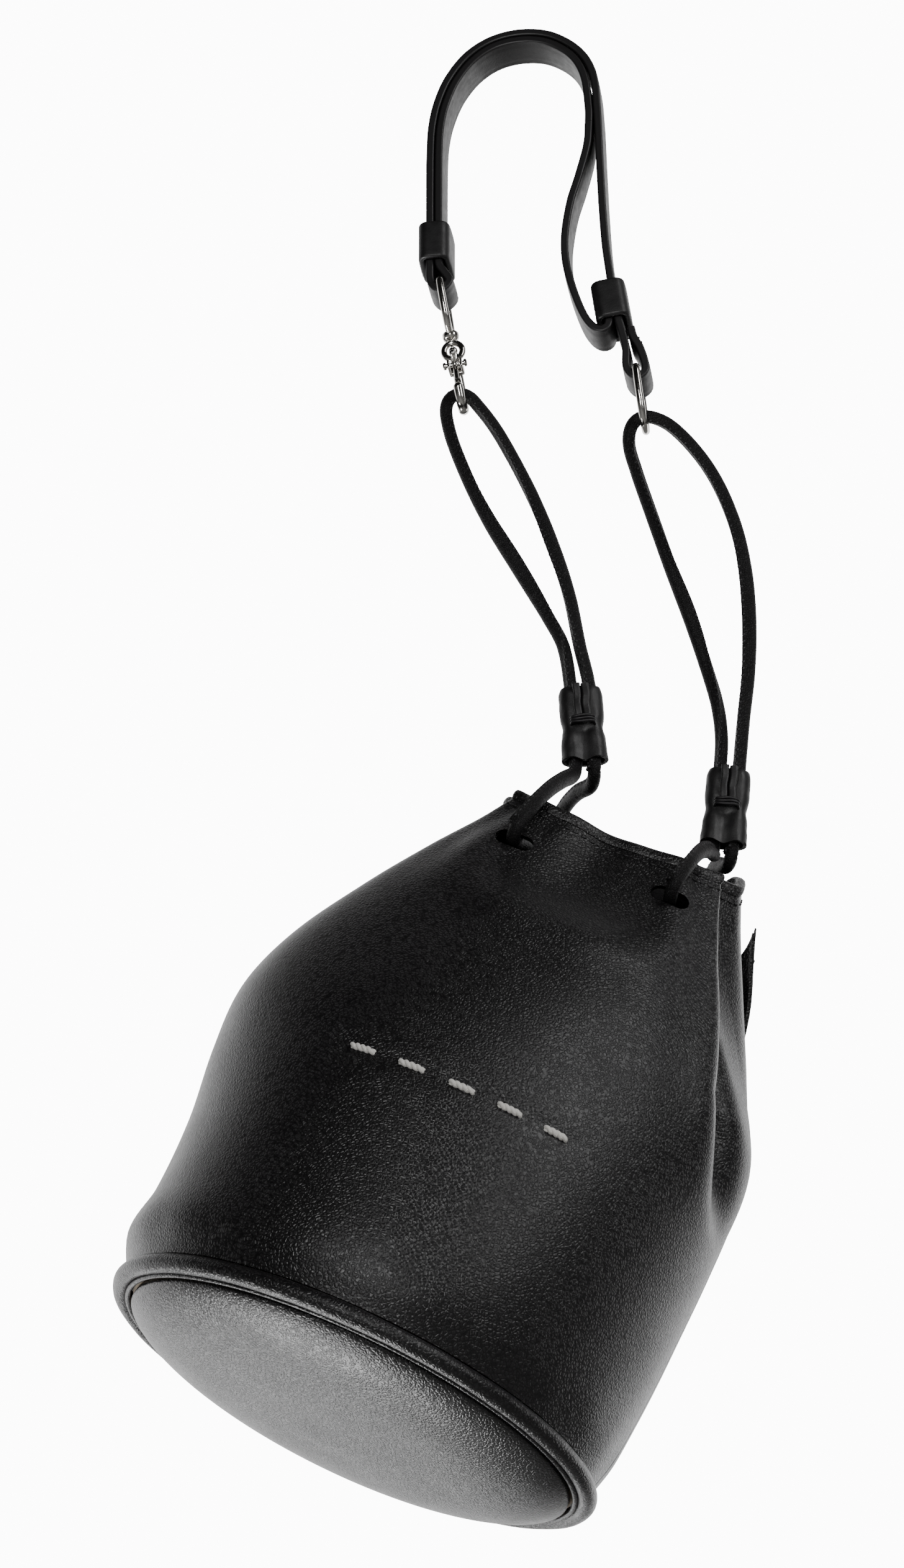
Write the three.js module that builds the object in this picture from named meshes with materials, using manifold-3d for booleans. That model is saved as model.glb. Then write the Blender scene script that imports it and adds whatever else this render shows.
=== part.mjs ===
// A small drawstring bucket bag in black leather, hanging by its doubled hand strap.
// Millimetres, +Z up. The origin is where the strap hangs: the middle of the arch's
// inner face. The bag's front faces -Y, and its axis leans towards +X.

import * as THREE from 'three';
import { mergeVertices } from 'three/addons/utils/BufferGeometryUtils.js';
import ManifoldModule from 'manifold-3d';

const wasm = await ManifoldModule();
wasm.setup();

// ---------------------------------------------------------------- driving dimensions

const GAP = 0.3; // between pieces that lie against each other
const LINING_GAP = 0.6; // between the curved wall and what lines it

// Bag, in its own frame: the base's centre at the origin, +Z up the bag's axis
const BASE_CENTRE = [-48.4, 1.6, -422.4];
const BAG_LEAN = THREE.MathUtils.degToRad(24.7);
const WALL_FOOT = 5.7;
const RIM_HEIGHT = 176;
const RIM_TILT = 7; // the back rim stands this much over the sides, the front this much under
const WALL_THICKNESS = 1.8;
const FACING_TOP = 0.985; // share of the wall's height
const FACING_FOOT = 0.8;
const FACING_THICKNESS = 0.8;
const LINING_THICKNESS = 0.6;
const WALL_COLUMNS = 26; // facets round each panel
const SEAM_ANGLE = 0.004; // half of the gap at each side seam, in radians
const PIPING_RING_RADIUS = 67.3;
const PIPING_RADIUS = 2.7;
const BASE_RADIUS = 64.2;
const BASE_CROWN = 9;
const BASE_FLAT_RADIUS = 20;
const BASE_TOP = 2;
const BINDING_HEIGHT = 2.3;
const BINDING_OVERHANG = 0.5;

// Wall profile rows: height, then half widths to the left and right, half depths to the
// front and back, the depth of the side pleats, and the power of the rounded outline
const WALL_PROFILE = [
  [5.7, 67.6, 67.4, 67.4, 67.4, 0, 2],
  [15, 72.2, 69.2, 69.5, 69.2, 0, 2],
  [28, 71.0, 70.2, 69.4, 69, 0, 2],
  [50, 72.2, 71.4, 66.8, 67, 0, 2],
  [72, 75.0, 72.2, 63.5, 64, 0, 2],
  [92, 76.9, 72.2, 58.5, 60, 2, 2.05],
  [110, 74.2, 69.4, 52, 54, 6, 2.1],
  [130, 65.6, 61.5, 43, 46, 11, 2.2],
  [150, 54, 51.2, 33.5, 36, 14, 2.3],
  [165, 44, 43, 26, 28.5, 15, 2.4],
  [176, 37, 37.5, 21, 22, 14, 2.5],
];
const PLEAT_CENTRE = -0.2; // share of the half depth
const PLEAT_WIDTH = 0.32;

// Drawcords and what is on them
const CORD_RADIUS = 2;
const CORD_STEPS = 70;
const SLOT_LENGTH = 12;
const SLOT_HEIGHT = 6.2;
const SLOTS = [
  { across: -23, up: 155.5, side: -1 },
  { across: 22, up: 158, side: -1 },
  { across: -23, up: 169, side: 1 },
  { across: 23, up: 170, side: 1 },
];
const SLIDER_HEIGHT = 22;
const SLIDER_BORE_RADIUS = 2.5;
const SLIDER_BORE_SPACING = 5.3;
const SLIDER_WALL = 1.1;
const SLIDER_THREAD_HEIGHT = 3;
const SPLICE_LENGTH = 14;
const SPLICE_WALL = 1;

// Strap, in its own frame: turned about +Z, with its width along the frame's Y
const STRAP_YAW = THREE.MathUtils.degToRad(-8.5);
const STRAP_WIDTH = 12;
const STRAP_THICKNESS = 2.3;
const LEFT_FOLD = [-24.2, -81.5];
const RIGHT_FOLD = [33.2, -116];
const LEFT_TILT = THREE.MathUtils.degToRad(-8.4);
const RIGHT_TILT = THREE.MathUtils.degToRad(-5.7);
const BAND_WALL = 1.8; // keeper and adjuster
const BAND_DEPTH = 12.9;
const BAND_HEIGHT = 12.4;

// Metalwork
const RING_WIRE = 1.1;
const RING_HALF_WIDTH = 7.9;
const FOLD_ROOM = 0.5; // between a ring's bar and the strap folded round it
const EYE_DROP = 15.4;
const RIGHT_RING_DROP = 17.1;
const CAGE_CENTRE = -21.2;
const GATE_PIVOT = [-2.6, -27.4]; // across, up
const PIN_RADIUS = 0.7;

// ---------------------------------------------------------------- materials

const leather = (colour) => new THREE.MeshStandardMaterial({ color: colour, roughness: 0.45, metalness: 0 });
const blackLeather = leather(0x1c1b1c);
const strapLeather = leather(0x181718);
const cordLeather = leather(0x161516);
const liningCloth = new THREE.MeshStandardMaterial({ color: 0x2b2a2c, roughness: 0.9, metalness: 0 });
const boardCard = new THREE.MeshStandardMaterial({ color: 0x8a7f70, roughness: 0.95, metalness: 0 });
const polishedSteel = new THREE.MeshStandardMaterial({ color: 0xd8d8da, roughness: 0.12, metalness: 1 });
const thread = new THREE.MeshStandardMaterial({ color: 0x141314, roughness: 0.7, metalness: 0 });

// ---------------------------------------------------------------- shape tools

const group = new THREE.Group();

function addMesh(parent, name, geometry, material) {
  const mesh = new THREE.Mesh(geometry, material);
  mesh.name = name;
  parent.add(mesh);
}

function addGroup(parent, position, turn = [0, 0, 0]) {
  const child = new THREE.Group();
  child.position.set(...position);
  child.rotation.set(...turn);
  parent.add(child);
  return child;
}

function toSolid(geometry) {
  const bare = geometry.clone();
  for (const name of Object.keys(bare.attributes)) {
    if (name !== 'position') bare.deleteAttribute(name);
  }
  const merged = mergeVertices(bare, 1e-4);
  return new wasm.Manifold(new wasm.Mesh({
    numProp: 3,
    vertProperties: new Float32Array(merged.attributes.position.array),
    triVerts: new Uint32Array(merged.index.array),
  }));
}

function toGeometry(solid) {
  const mesh = solid.getMesh();
  const geometry = new THREE.BufferGeometry();
  geometry.setAttribute('position', new THREE.BufferAttribute(mesh.vertProperties, 3));
  geometry.setIndex(new THREE.BufferAttribute(mesh.triVerts, 1));
  return geometry;
}

const joined = (geometries) => geometries.map(toSolid).reduce((whole, piece) => whole.add(piece));

// A closed solid between an outer and an inner face, each a grid of points given by
// functions of two shares from 0 to 1. With around set, the first share closes on itself.
function shellSolid(outerAt, innerAt, columns, rows, around = false) {
  const across = around ? columns : columns + 1;
  const points = [];
  for (const faceAt of [outerAt, innerAt]) {
    for (let row = 0; row <= rows; row++) {
      for (let column = 0; column < across; column++) {
        points.push(...faceAt(column / columns, row / rows));
      }
    }
  }
  const outer = (column, row) => row * across + (column % across);
  const inner = (column, row) => across * (rows + 1) + outer(column, row);
  const indices = [];
  const quad = (a, b, c, d) => indices.push(a, b, c, a, c, d);
  for (let column = 0; column < columns; column++) {
    const next = column + 1;
    for (let row = 0; row < rows; row++) {
      quad(outer(column, row), outer(next, row), outer(next, row + 1), outer(column, row + 1));
      quad(inner(column, row), inner(column, row + 1), inner(next, row + 1), inner(next, row));
    }
    quad(outer(column, 0), inner(column, 0), inner(next, 0), outer(next, 0));
    quad(outer(column, rows), outer(next, rows), inner(next, rows), inner(column, rows));
  }
  if (!around) {
    for (let row = 0; row < rows; row++) {
      quad(outer(0, row), outer(0, row + 1), inner(0, row + 1), inner(0, row));
      quad(outer(columns, row), inner(columns, row), inner(columns, row + 1), outer(columns, row + 1));
    }
  }
  const geometry = new THREE.BufferGeometry();
  geometry.setAttribute('position', new THREE.Float32BufferAttribute(points, 3));
  geometry.setIndex(indices);
  return geometry;
}

// A closed ring of round wire along a closed curve that lies in the YZ plane
function wireRing(curve, radius, steps, sides) {
  const points = [];
  for (let step = 0; step < steps; step++) {
    const centre = curve.getPoint(step / steps);
    const tangent = curve.getTangent(step / steps);
    const outward = new THREE.Vector3(0, tangent.z, -tangent.y);
    for (let side = 0; side < sides; side++) {
      const angle = (2 * Math.PI * side) / sides;
      const point = centre.clone().addScaledVector(outward, radius * Math.cos(angle));
      points.push(point.x + radius * Math.sin(angle), point.y, point.z);
    }
  }
  const indices = [];
  for (let step = 0; step < steps; step++) {
    for (let side = 0; side < sides; side++) {
      const a = step * sides + side;
      const b = step * sides + ((side + 1) % sides);
      const c = ((step + 1) % steps) * sides + ((side + 1) % sides);
      const d = ((step + 1) % steps) * sides + side;
      indices.push(a, c, b, a, d, c);
    }
  }
  const geometry = new THREE.BufferGeometry();
  geometry.setAttribute('position', new THREE.Float32BufferAttribute(points, 3));
  geometry.setIndex(indices);
  return geometry;
}

function roundTube(points, radius, steps, sides) {
  const section = new THREE.Shape();
  section.absarc(0, 0, radius, 0, 2 * Math.PI);
  const path = new THREE.CatmullRomCurve3(points.map((point) => new THREE.Vector3(...point)));
  return new THREE.ExtrudeGeometry(section, { steps, curveSegments: sides / 2, extrudePath: path });
}

function roundedRectangle(width, height, radius) {
  const shape = new THREE.Shape();
  const x = width / 2 - radius;
  const y = height / 2 - radius;
  shape.absarc(x, y, radius, 0, Math.PI / 2);
  shape.absarc(-x, y, radius, Math.PI / 2, Math.PI);
  shape.absarc(-x, -y, radius, Math.PI, 1.5 * Math.PI);
  shape.absarc(x, -y, radius, 1.5 * Math.PI, 2 * Math.PI);
  return shape;
}

// A straight sleeve of rounded-rectangle section about +Z, centred on the origin
function bandSleeve(innerWidth, innerDepth, wall, height) {
  const shape = roundedRectangle(innerWidth + 2 * wall, innerDepth + 2 * wall, wall + 0.6);
  shape.holes.push(roundedRectangle(innerWidth, innerDepth, 0.6));
  const geometry = new THREE.ExtrudeGeometry(shape, { depth: height, bevelEnabled: false, curveSegments: 3 });
  return geometry.translate(0, 0, -height / 2);
}

function cylinderAlong(axis, radius, length, segments = 16) {
  const geometry = new THREE.CylinderGeometry(radius, radius, length, segments);
  if (axis === 'x') geometry.rotateZ(Math.PI / 2);
  if (axis === 'z') geometry.rotateX(Math.PI / 2);
  return geometry;
}

// ---------------------------------------------------------------- bag

const bag = addGroup(group, BASE_CENTRE, [0, BAG_LEAN, 0]);

// The wall profile at a height, smoothly between the rows
function profileAt(height) {
  const last = WALL_PROFILE.length - 1;
  let row = 0;
  while (row < last - 1 && height > WALL_PROFILE[row + 1][0]) row++;
  const slope = (index, column) => {
    const low = WALL_PROFILE[Math.max(index - 1, 0)];
    const high = WALL_PROFILE[Math.min(index + 1, last)];
    return (high[column] - low[column]) / (high[0] - low[0]);
  };
  const [from, to] = [WALL_PROFILE[row], WALL_PROFILE[row + 1]];
  const span = to[0] - from[0];
  const t = (height - from[0]) / span;
  return from.slice(1).map((start, index) => {
    const column = index + 1;
    return (2 * t ** 3 - 3 * t ** 2 + 1) * start
      + (t ** 3 - 2 * t ** 2 + t) * span * slope(row, column)
      + (3 * t ** 2 - 2 * t ** 3) * to[column]
      + (t ** 3 - t ** 2) * span * slope(row + 1, column);
  });
}

// A point of the wall: the angle runs from +X towards the back, the rise is the share of
// the height, inset goes inwards from the outer face, and lift goes on past the rim
function wallPoint(angle, rise, inset, lift = 0) {
  const height = WALL_FOOT + rise * (RIM_HEIGHT - WALL_FOOT);
  const [left, right, front, back, pleat, power] = profileAt(height);
  const [c, s] = [Math.cos(angle), Math.sin(angle)];
  const halfWidth = c > 0 ? right : left;
  const halfDepth = s > 0 ? back : front;
  const y = Math.sign(s) * halfDepth * Math.abs(s) ** (2 / power);
  const fold = pleat * Math.exp(-(((y / halfDepth - PLEAT_CENTRE) / PLEAT_WIDTH) ** 2));
  const x = Math.sign(c) * (halfWidth * Math.abs(c) ** (2 / power) - fold * Math.abs(c));
  const shrink = 1 - inset / Math.hypot(x, y);
  return [x * shrink, y * shrink, height + RIM_TILT * rise * s + lift];
}

function wallPanel(fromAngle, toAngle) {
  const faceAt = (inset) => (u, v) => wallPoint(fromAngle + (toAngle - fromAngle) * u, v, inset);
  return shellSolid(faceAt(0), faceAt(WALL_THICKNESS), WALL_COLUMNS, 14);
}

function wallRing(insetOuter, insetInner, footRise, topRise, rows) {
  const faceAt = (inset) => (u, v) => (
    wallPoint(2 * Math.PI * u, footRise + (topRise - footRise) * v, inset));
  return shellSolid(faceAt(insetOuter), faceAt(insetInner), 2 * WALL_COLUMNS, rows, true);
}

function slotCutter({ across, up, side }) {
  const shape = roundedRectangle(SLOT_LENGTH, SLOT_HEIGHT, SLOT_HEIGHT / 2 - 0.01);
  const cutter = new THREE.ExtrudeGeometry(shape, { depth: 30, bevelEnabled: false, curveSegments: 4 });
  cutter.rotateX(Math.PI / 2).translate(across, side > 0 ? 42 : -12, up);
  return toSolid(cutter);
}

const cutters = SLOTS.map(slotCutter);
const withSlots = (geometry) => toGeometry(cutters.reduce((solid, cutter) => solid.subtract(cutter), toSolid(geometry)));

addMesh(bag, 'front_panel', withSlots(wallPanel(Math.PI + SEAM_ANGLE, 2 * Math.PI - SEAM_ANGLE)), blackLeather);
addMesh(bag, 'back_panel', withSlots(wallPanel(SEAM_ANGLE, Math.PI - SEAM_ANGLE)), blackLeather);

const facingOuter = WALL_THICKNESS + LINING_GAP;
const facing = wallRing(facingOuter, facingOuter + FACING_THICKNESS, FACING_FOOT, FACING_TOP, 3);
addMesh(bag, 'mouth_facing', withSlots(facing), blackLeather);
addMesh(bag, 'lining_wall',
  wallRing(facingOuter, facingOuter + LINING_THICKNESS, 0.005, FACING_FOOT - 0.01, 8), liningCloth);

const bindingAt = (inset) => (u, v) => wallPoint(2 * Math.PI * u, 1, inset, GAP + BINDING_HEIGHT * v);
addMesh(bag, 'top_binding',
  shellSolid(bindingAt(-BINDING_OVERHANG), bindingAt(WALL_THICKNESS + BINDING_OVERHANG),
    2 * WALL_COLUMNS, 1, true), blackLeather);

const piping = new THREE.TorusGeometry(PIPING_RING_RADIUS, PIPING_RADIUS, 8, 56);
piping.translate(0, 0, PIPING_RADIUS);
addMesh(bag, 'piping', piping, blackLeather);

// The base panel is a shallow crowned cushion, flat in the middle and steep at its edge
function crownHeight(radius) {
  const share = Math.max(0, (radius - BASE_FLAT_RADIUS) / (BASE_RADIUS - BASE_FLAT_RADIUS));
  return -BASE_CROWN * (1 - share ** 3) ** 0.7;
}

const basePoints = [new THREE.Vector2(0, -BASE_CROWN)];
for (const share of [0.31, 0.5, 0.66, 0.8, 0.9, 0.96, 1]) {
  basePoints.push(new THREE.Vector2(share * BASE_RADIUS, crownHeight(share * BASE_RADIUS)));
}
basePoints.push(new THREE.Vector2(BASE_RADIUS, BASE_TOP), new THREE.Vector2(0, BASE_TOP));
addMesh(bag, 'base_panel', new THREE.LatheGeometry(basePoints, 56).rotateX(Math.PI / 2), blackLeather);

const disc = (radius, foot, thickness) => (
  cylinderAlong('z', radius, thickness, 56).translate(0, 0, foot + thickness / 2));
const boardFoot = BASE_TOP + GAP;
const boardThickness = 2.2;
addMesh(bag, 'base_board', disc(BASE_RADIUS - 0.2, boardFoot, boardThickness), boardCard);
addMesh(bag, 'lining_base', disc(BASE_RADIUS, boardFoot + boardThickness + GAP, 0.8), liningCloth);

// A card pocket stitched to the back. It stays flat where the mouth is gathered, so its
// open top edge stands off the wall, most at its two corners.
const POCKET = {
  fromAngle: 0.62, toAngle: 2.52, footRise: 0.42, topRise: 0.87, thickness: 1.3,
  bulge: 2.4, cornerLift: 0.1, cornerStand: 7.5,
};
function pocketFace(depth) {
  return (u, v) => {
    const middle = Math.max(Math.sin(Math.PI * u), 0);
    const angle = POCKET.fromAngle + (POCKET.toAngle - POCKET.fromAngle) * u;
    const topRise = POCKET.topRise + POCKET.cornerLift * (1 - middle) ** 2;
    const rise = POCKET.footRise + (topRise - POCKET.footRise) * v;
    const standOff = GAP + POCKET.bulge * v ** 2 * middle ** 0.5
      + POCKET.cornerStand * (1 - middle) ** 1.5 * THREE.MathUtils.smoothstep(v, 0.4, 0.85);
    return wallPoint(angle, rise, -standOff - depth);
  };
}
addMesh(bag, 'back_pocket', shellSolid(pocketFace(POCKET.thickness), pocketFace(0), 16, 6), blackLeather);

// A plain patch inside the front wall
const patchFace = (inset) => (u, v) => wallPoint(4.34 + 0.74 * u, 0.33 + 0.17 * v, inset);
const patchInset = facingOuter + LINING_THICKNESS + 2 * GAP;
addMesh(bag, 'inner_patch', shellSolid(patchFace(patchInset), patchFace(patchInset + 1), 8, 4), blackLeather);

// ---------------------------------------------------------------- drawcords

// Each cord is a closed loop. It starts and ends inside the bag in its splice, goes out of
// its front slot, up through its slider, over the strap's hook or ring, down through the
// slider again and in at its back slot.
const LEFT_CORD = [
  [-0.4, 1.9, -266.7], [-0.4, -6, -266.7], [-1.7, -14, -268.9], [-4.3, -22, -271.5], [-4.4, -27.6, -270.8],
  [0.4, -26.2, -263.4], [5.0, -20.2, -255.8], [9.2, -12.4, -249.2], [12.4, -4.6, -243.8], [13.3, -0.3, -238.6],
  [12.75, 0, -226], [12.1, 0, -213.5], [10.2, 0.3, -200.7], [6.6, 0.6, -192.6], [-2.1, 1.2, -176.3],
  [-10.7, 1.8, -159.9], [-17.6, 2.2, -143.4], [-22.0, 2.6, -129.5], [-22.9, 2.7, -121.6], [-21.5, 2.8, -118.3],
  [-18.8, 2.8, -117.1], [-16.2, 2.8, -118.1], [-13.2, 2.6, -121.9], [-9.3, 2.4, -127.8], [-5.4, 2.2, -135.2], [2.0, 1.8, -151.8], [7.8, 1.4, -168.2],
  [12.2, 1, -184.4], [14.9, 0.5, -200.5], [17.4, 0, -213.5], [18.05, 0, -226], [18.4, 0, -234],
  [18.6, 0.3, -239.6], [17.9, 5, -242.2], [14.2, 13, -241.2], [11.2, 21, -241.2], [8.4, 28.4, -243.6], [5.2, 32.8, -249.6],
  [2.6, 32.6, -256.2], [1.3, 27.6, -259.6], [0.2, 19, -263.6], [-0.4, 11, -266.5], [-0.4, 2.4, -266.7],
];
const RIGHT_CORD = [
  [38.8, 1.9, -283.1], [38.8, -6, -283.1], [38.2, -13.5, -286], [37.6, -19, -288.1], [37.7, -24, -288.5], [38.3, -27.8, -287.4],
  [42.2, -26, -280.8], [45.8, -19.4, -274], [49.2, -11, -269.6], [50.9, -4.6, -267.8], [51, -0.3, -265],
  [52.3, 0, -252.5], [53.55, 0, -240.5], [54.3, -0.3, -230], [53.4, -0.6, -220], [50.8, -1, -209.2],
  [46.3, -2, -193.9], [41.3, -3, -178.6], [36.5, -4, -163], [31.8, -4.6, -147.1], [29.8, -5, -138.6],
  [30.2, -5.1, -133.6], [31.9, -5.1, -130.5], [34.7, -5.1, -129.2], [39.9, -5.1, -130.9], [45.4, -5, -135.9], [53.2, -4.5, -147.1], [59.4, -4, -163],
  [62.4, -3, -178.6], [63.2, -2, -193.9], [62.5, -1, -209.2], [60.6, -0.4, -224.5], [58.9, 0, -240.5],
  [57.6, 0, -252.5], [56.7, 0, -260.5], [56.2, 0.3, -265.9], [55.2, 6, -266.6], [53.6, 13.6, -263.4], [51.8, 21, -261.9],
  [50.2, 28.6, -263.4], [47.4, 33, -268.8], [44.9, 32.8, -274.8], [43.5, 27.6, -277.6], [41.6, 19, -281],
  [38.8, 11, -283.1], [38.8, 2.4, -283.1],
];

for (const [side, route, slider, lean] of [
  ['left', LEFT_CORD, [15.4, 0, -226], -3],
  ['right', RIGHT_CORD, [55.05, 0, -251.5], 6],
]) {
  addMesh(group, `drawcord_${side}`, roundTube(route, CORD_RADIUS, CORD_STEPS, 8), cordLeather);

  const [x, , z] = route[0];
  const bore = CORD_RADIUS + GAP;
  const [near, far] = [-SPLICE_LENGTH / 2, SPLICE_LENGTH / 2];
  const profile = [[bore, near], [bore + SPLICE_WALL, near], [bore + SPLICE_WALL, far], [bore, far], [bore, near]]
    .map((point) => new THREE.Vector2(...point));
  const spliceGroup = addGroup(group, [x, route[0][1] + 0.2, z]);
  addMesh(spliceGroup, `cord_splice_${side}`, new THREE.LatheGeometry(profile, 16), cordLeather);

  // The slider is a folded leather barrel with a bore for each strand. Its ends close in a
  // raised ridge on the front, and a thread wraps it under the ridge.
  const sliderGroup = addGroup(group, slider, [0, THREE.MathUtils.degToRad(lean), 0]);
  const halfSpacing = SLIDER_BORE_SPACING / 2;
  const width = SLIDER_BORE_SPACING + 2 * (SLIDER_BORE_RADIUS + SLIDER_WALL);
  const depth = 2 * (SLIDER_BORE_RADIUS + SLIDER_WALL);
  const outline = roundedRectangle(width, depth, depth / 2 - 0.01);
  for (const bx of [-halfSpacing, halfSpacing]) {
    outline.holes.push(new THREE.Path().absarc(bx, 0, SLIDER_BORE_RADIUS, 0, 2 * Math.PI));
  }
  const barrel = new THREE.ExtrudeGeometry(outline, {
    depth: SLIDER_HEIGHT, bevelEnabled: false, curveSegments: 6,
  }).translate(0, 0, -SLIDER_HEIGHT / 2);
  const ridge = new THREE.ExtrudeGeometry(roundedRectangle(6, 2.4, 1), {
    depth: 9.5, bevelEnabled: false, curveSegments: 3,
  }).translate(0, -depth / 2 - 0.6, 1);
  addMesh(sliderGroup, `slider_${side}`, toGeometry(joined([barrel, ridge])), strapLeather);
  const wrap = roundedRectangle(width + 1.8, depth + 1.8, depth / 2 + 0.8);
  wrap.holes.push(roundedRectangle(width + 0.6, depth + 0.6, depth / 2 + 0.2));
  const wrapGeometry = new THREE.ExtrudeGeometry(wrap, {
    depth: SLIDER_THREAD_HEIGHT, bevelEnabled: false, curveSegments: 4,
  }).translate(0, 0, -2.6);
  addMesh(sliderGroup, `slider_thread_${side}`, wrapGeometry, thread);
}

// ---------------------------------------------------------------- strap

const strap = addGroup(group, [0, 0, 0], [0, 0, STRAP_YAW]);

// A flat strip on edge: its middle line in the XZ plane, its width along Y
function strip(points, samples) {
  const curve = new THREE.SplineCurve(points.map((point) => new THREE.Vector2(...point)));
  const sides = [[], []];
  for (let index = 0; index <= samples; index++) {
    const share = index / samples;
    const centre = curve.getPoint(share);
    const tangent = curve.getTangent(share);
    const normal = new THREE.Vector2(-tangent.y, tangent.x).multiplyScalar(STRAP_THICKNESS / 2);
    sides[0].push(centre.clone().add(normal));
    sides[1].push(centre.clone().sub(normal));
  }
  const shape = new THREE.Shape([...sides[0], ...sides[1].reverse()]);
  const geometry = new THREE.ExtrudeGeometry(shape, { depth: STRAP_WIDTH, bevelEnabled: false });
  return geometry.rotateX(Math.PI / 2).translate(0, STRAP_WIDTH / 2, 0);
}

// The strap starts at its stitched end on the right ring, goes up through the adjuster,
// over the arch, down and round the left ring, and back over the arch as the inner layer.
const fold = STRAP_THICKNESS / 2 + RING_WIRE + FOLD_ROOM;
const STRAP_LINE = [
  [31.9, -102.2], [32.7, -105.6], [34.6, -109.6], [RIGHT_FOLD[0] + fold, RIGHT_FOLD[1] - 0.4],
  [RIGHT_FOLD[0], RIGHT_FOLD[1] - fold], [RIGHT_FOLD[0] - fold, RIGHT_FOLD[1] + 0.4],
  [30.3, -109], [29.3, -103.5], [27.9, -97], [26.7, -89], [25.7, -81], [24.8, -72], [24.1, -58],
  [23.6, -42], [23.1, -25], [21.9, -12.6], [17.6, -4.2], [9.6, 1.9], [0.6, 3.75], [-8.3, 2.2], [-15.9, -2.6],
  [-21.6, -10.2], [-25.0, -18.6], [-26.7, -27], [-27.2, -36], [-27.3, -48.5], [-27.3, -62], [-27.3, -75],
  [LEFT_FOLD[0] - fold, LEFT_FOLD[1]], [LEFT_FOLD[0], LEFT_FOLD[1] - fold], [LEFT_FOLD[0] + fold, LEFT_FOLD[1]],
  [-23.2, -78], [-24.7, -74.5], [-24.7, -62], [-24.7, -48.5], [-24.6, -36], [-24.1, -27.5], [-22.5, -19.6],
  [-19.3, -11.6], [-14.1, -4.6], [-7.4, -0.2], [0.6, 1.15], [8.4, -0.5], [15.6, -6], [19.3, -13.8],
  [20.5, -25], [20.5, -30],
];
const TAIL_LINE = [
  [20.5, -30.3], [19.9, -38], [17.3, -48.5], [14.8, -57], [13.3, -65.5], [12.8, -72], [13.1, -78],
  [14.2, -84], [16.1, -91], [18.2, -96.8], [20.4, -100.4], [22.8, -102], [24.9, -101.2], [25.5, -98.6],
  [25.0, -94], [24.6, -91],
];
addMesh(strap, 'strap', strip(STRAP_LINE, 120), strapLeather);
addMesh(strap, 'strap_tail', strip(TAIL_LINE, 40), strapLeather);

const layers = 2 * STRAP_THICKNESS + GAP;
const keeperGroup = addGroup(strap, [-26, 0, -68.2]);
addMesh(keeperGroup, 'strap_keeper', bandSleeve(layers + 0.7, BAND_DEPTH, BAND_WALL, BAND_HEIGHT), strapLeather);
const adjusterGroup = addGroup(strap, [26.05, 0, -92.8], [0, THREE.MathUtils.degToRad(-8), 0]);
addMesh(adjusterGroup, 'adjuster_sleeve', bandSleeve(layers + 1.4, BAND_DEPTH, BAND_WALL, BAND_HEIGHT), strapLeather);

// ---------------------------------------------------------------- metalwork

// An oval ring hanging from its straight top bar, in the YZ plane
function ovalRing(drop) {
  const half = [[3.4, 0], [6.1, -0.05], [7.5, -1], [RING_HALF_WIDTH, -3.2], [7.4, -drop * 0.55],
    [5.6, -drop * 0.83], [2.9, -drop * 0.97]];
  const outline = [...half, [0, -drop], ...half.map(([y, z]) => [-y, z]).reverse(), [0, 0]];
  const points = outline.map(([y, z]) => new THREE.Vector3(0, y, z));
  return wireRing(new THREE.CatmullRomCurve3(points, true), RING_WIRE, 40, 8);
}

const snap = addGroup(strap, [LEFT_FOLD[0], 0, LEFT_FOLD[1]], [0, LEFT_TILT, 0]);

// The swivel eye: a ring, a boss under it, and a thin stem that ends in a riveted ball
const CAGE_RADIUS = 2.75;
const CAGE_WIRE = 0.95;
const STEM_RADIUS = 0.45;
const boss = cylinderAlong('z', 2.4, 1.9, 20).translate(0, 0, -EYE_DROP - 0.8);
const stem = cylinderAlong('z', STEM_RADIUS, 5, 12).translate(0, 0, -EYE_DROP - 3.6);
const ball = new THREE.SphereGeometry(1.35, 12, 8).translate(0, 0, CAGE_CENTRE);
addMesh(snap, 'swivel_eye', toGeometry(joined([ovalRing(EYE_DROP), boss, stem, ball])), polishedSteel);

// The hook: a round cage for the ball, a neck with two ears for the gate's pin, and the
// bend that the cord lies in
const HOOK_LINE = [
  [0, 0.6, -24.6], [0, 2.9, -26.6], [0, 4.6, -30], [0, 4.9, -34.4], [0, 3.8, -38.9], [0, 0.3, -41.1],
  [0, -3.1, -39.9], [0, -4.8, -36.4],
];
const cage = new THREE.TorusGeometry(CAGE_RADIUS, CAGE_WIRE, 8, 22);
cage.rotateX(Math.PI / 2).translate(0, 0, CAGE_CENTRE);
const neck = new THREE.BoxGeometry(2.4, 2.6, 3).translate(0, 0.7, -25.6);
const ears = [-1.85, 1.85].map((x) => new THREE.BoxGeometry(0.8, 5.2, 2.8).translate(x, -1.4, GATE_PIVOT[1]));
const bridge = new THREE.BoxGeometry(4.5, 1.6, 2.8).translate(0, 1.2, GATE_PIVOT[1]);
const bend = roundTube(HOOK_LINE, 1.45, 20, 8);
const stemHole = cylinderAlong('z', STEM_RADIUS + 0.15, 6, 12).translate(0, 0, CAGE_CENTRE + 3);
const pinHole = cylinderAlong('x', PIN_RADIUS + 0.1, 6, 12).translate(0, ...GATE_PIVOT);
const hook = joined([cage, neck, ...ears, bridge, bend])
  .subtract(toSolid(stemHole))
  .subtract(toSolid(pinHole));
addMesh(snap, 'snap_hook', toGeometry(hook), polishedSteel);

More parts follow.
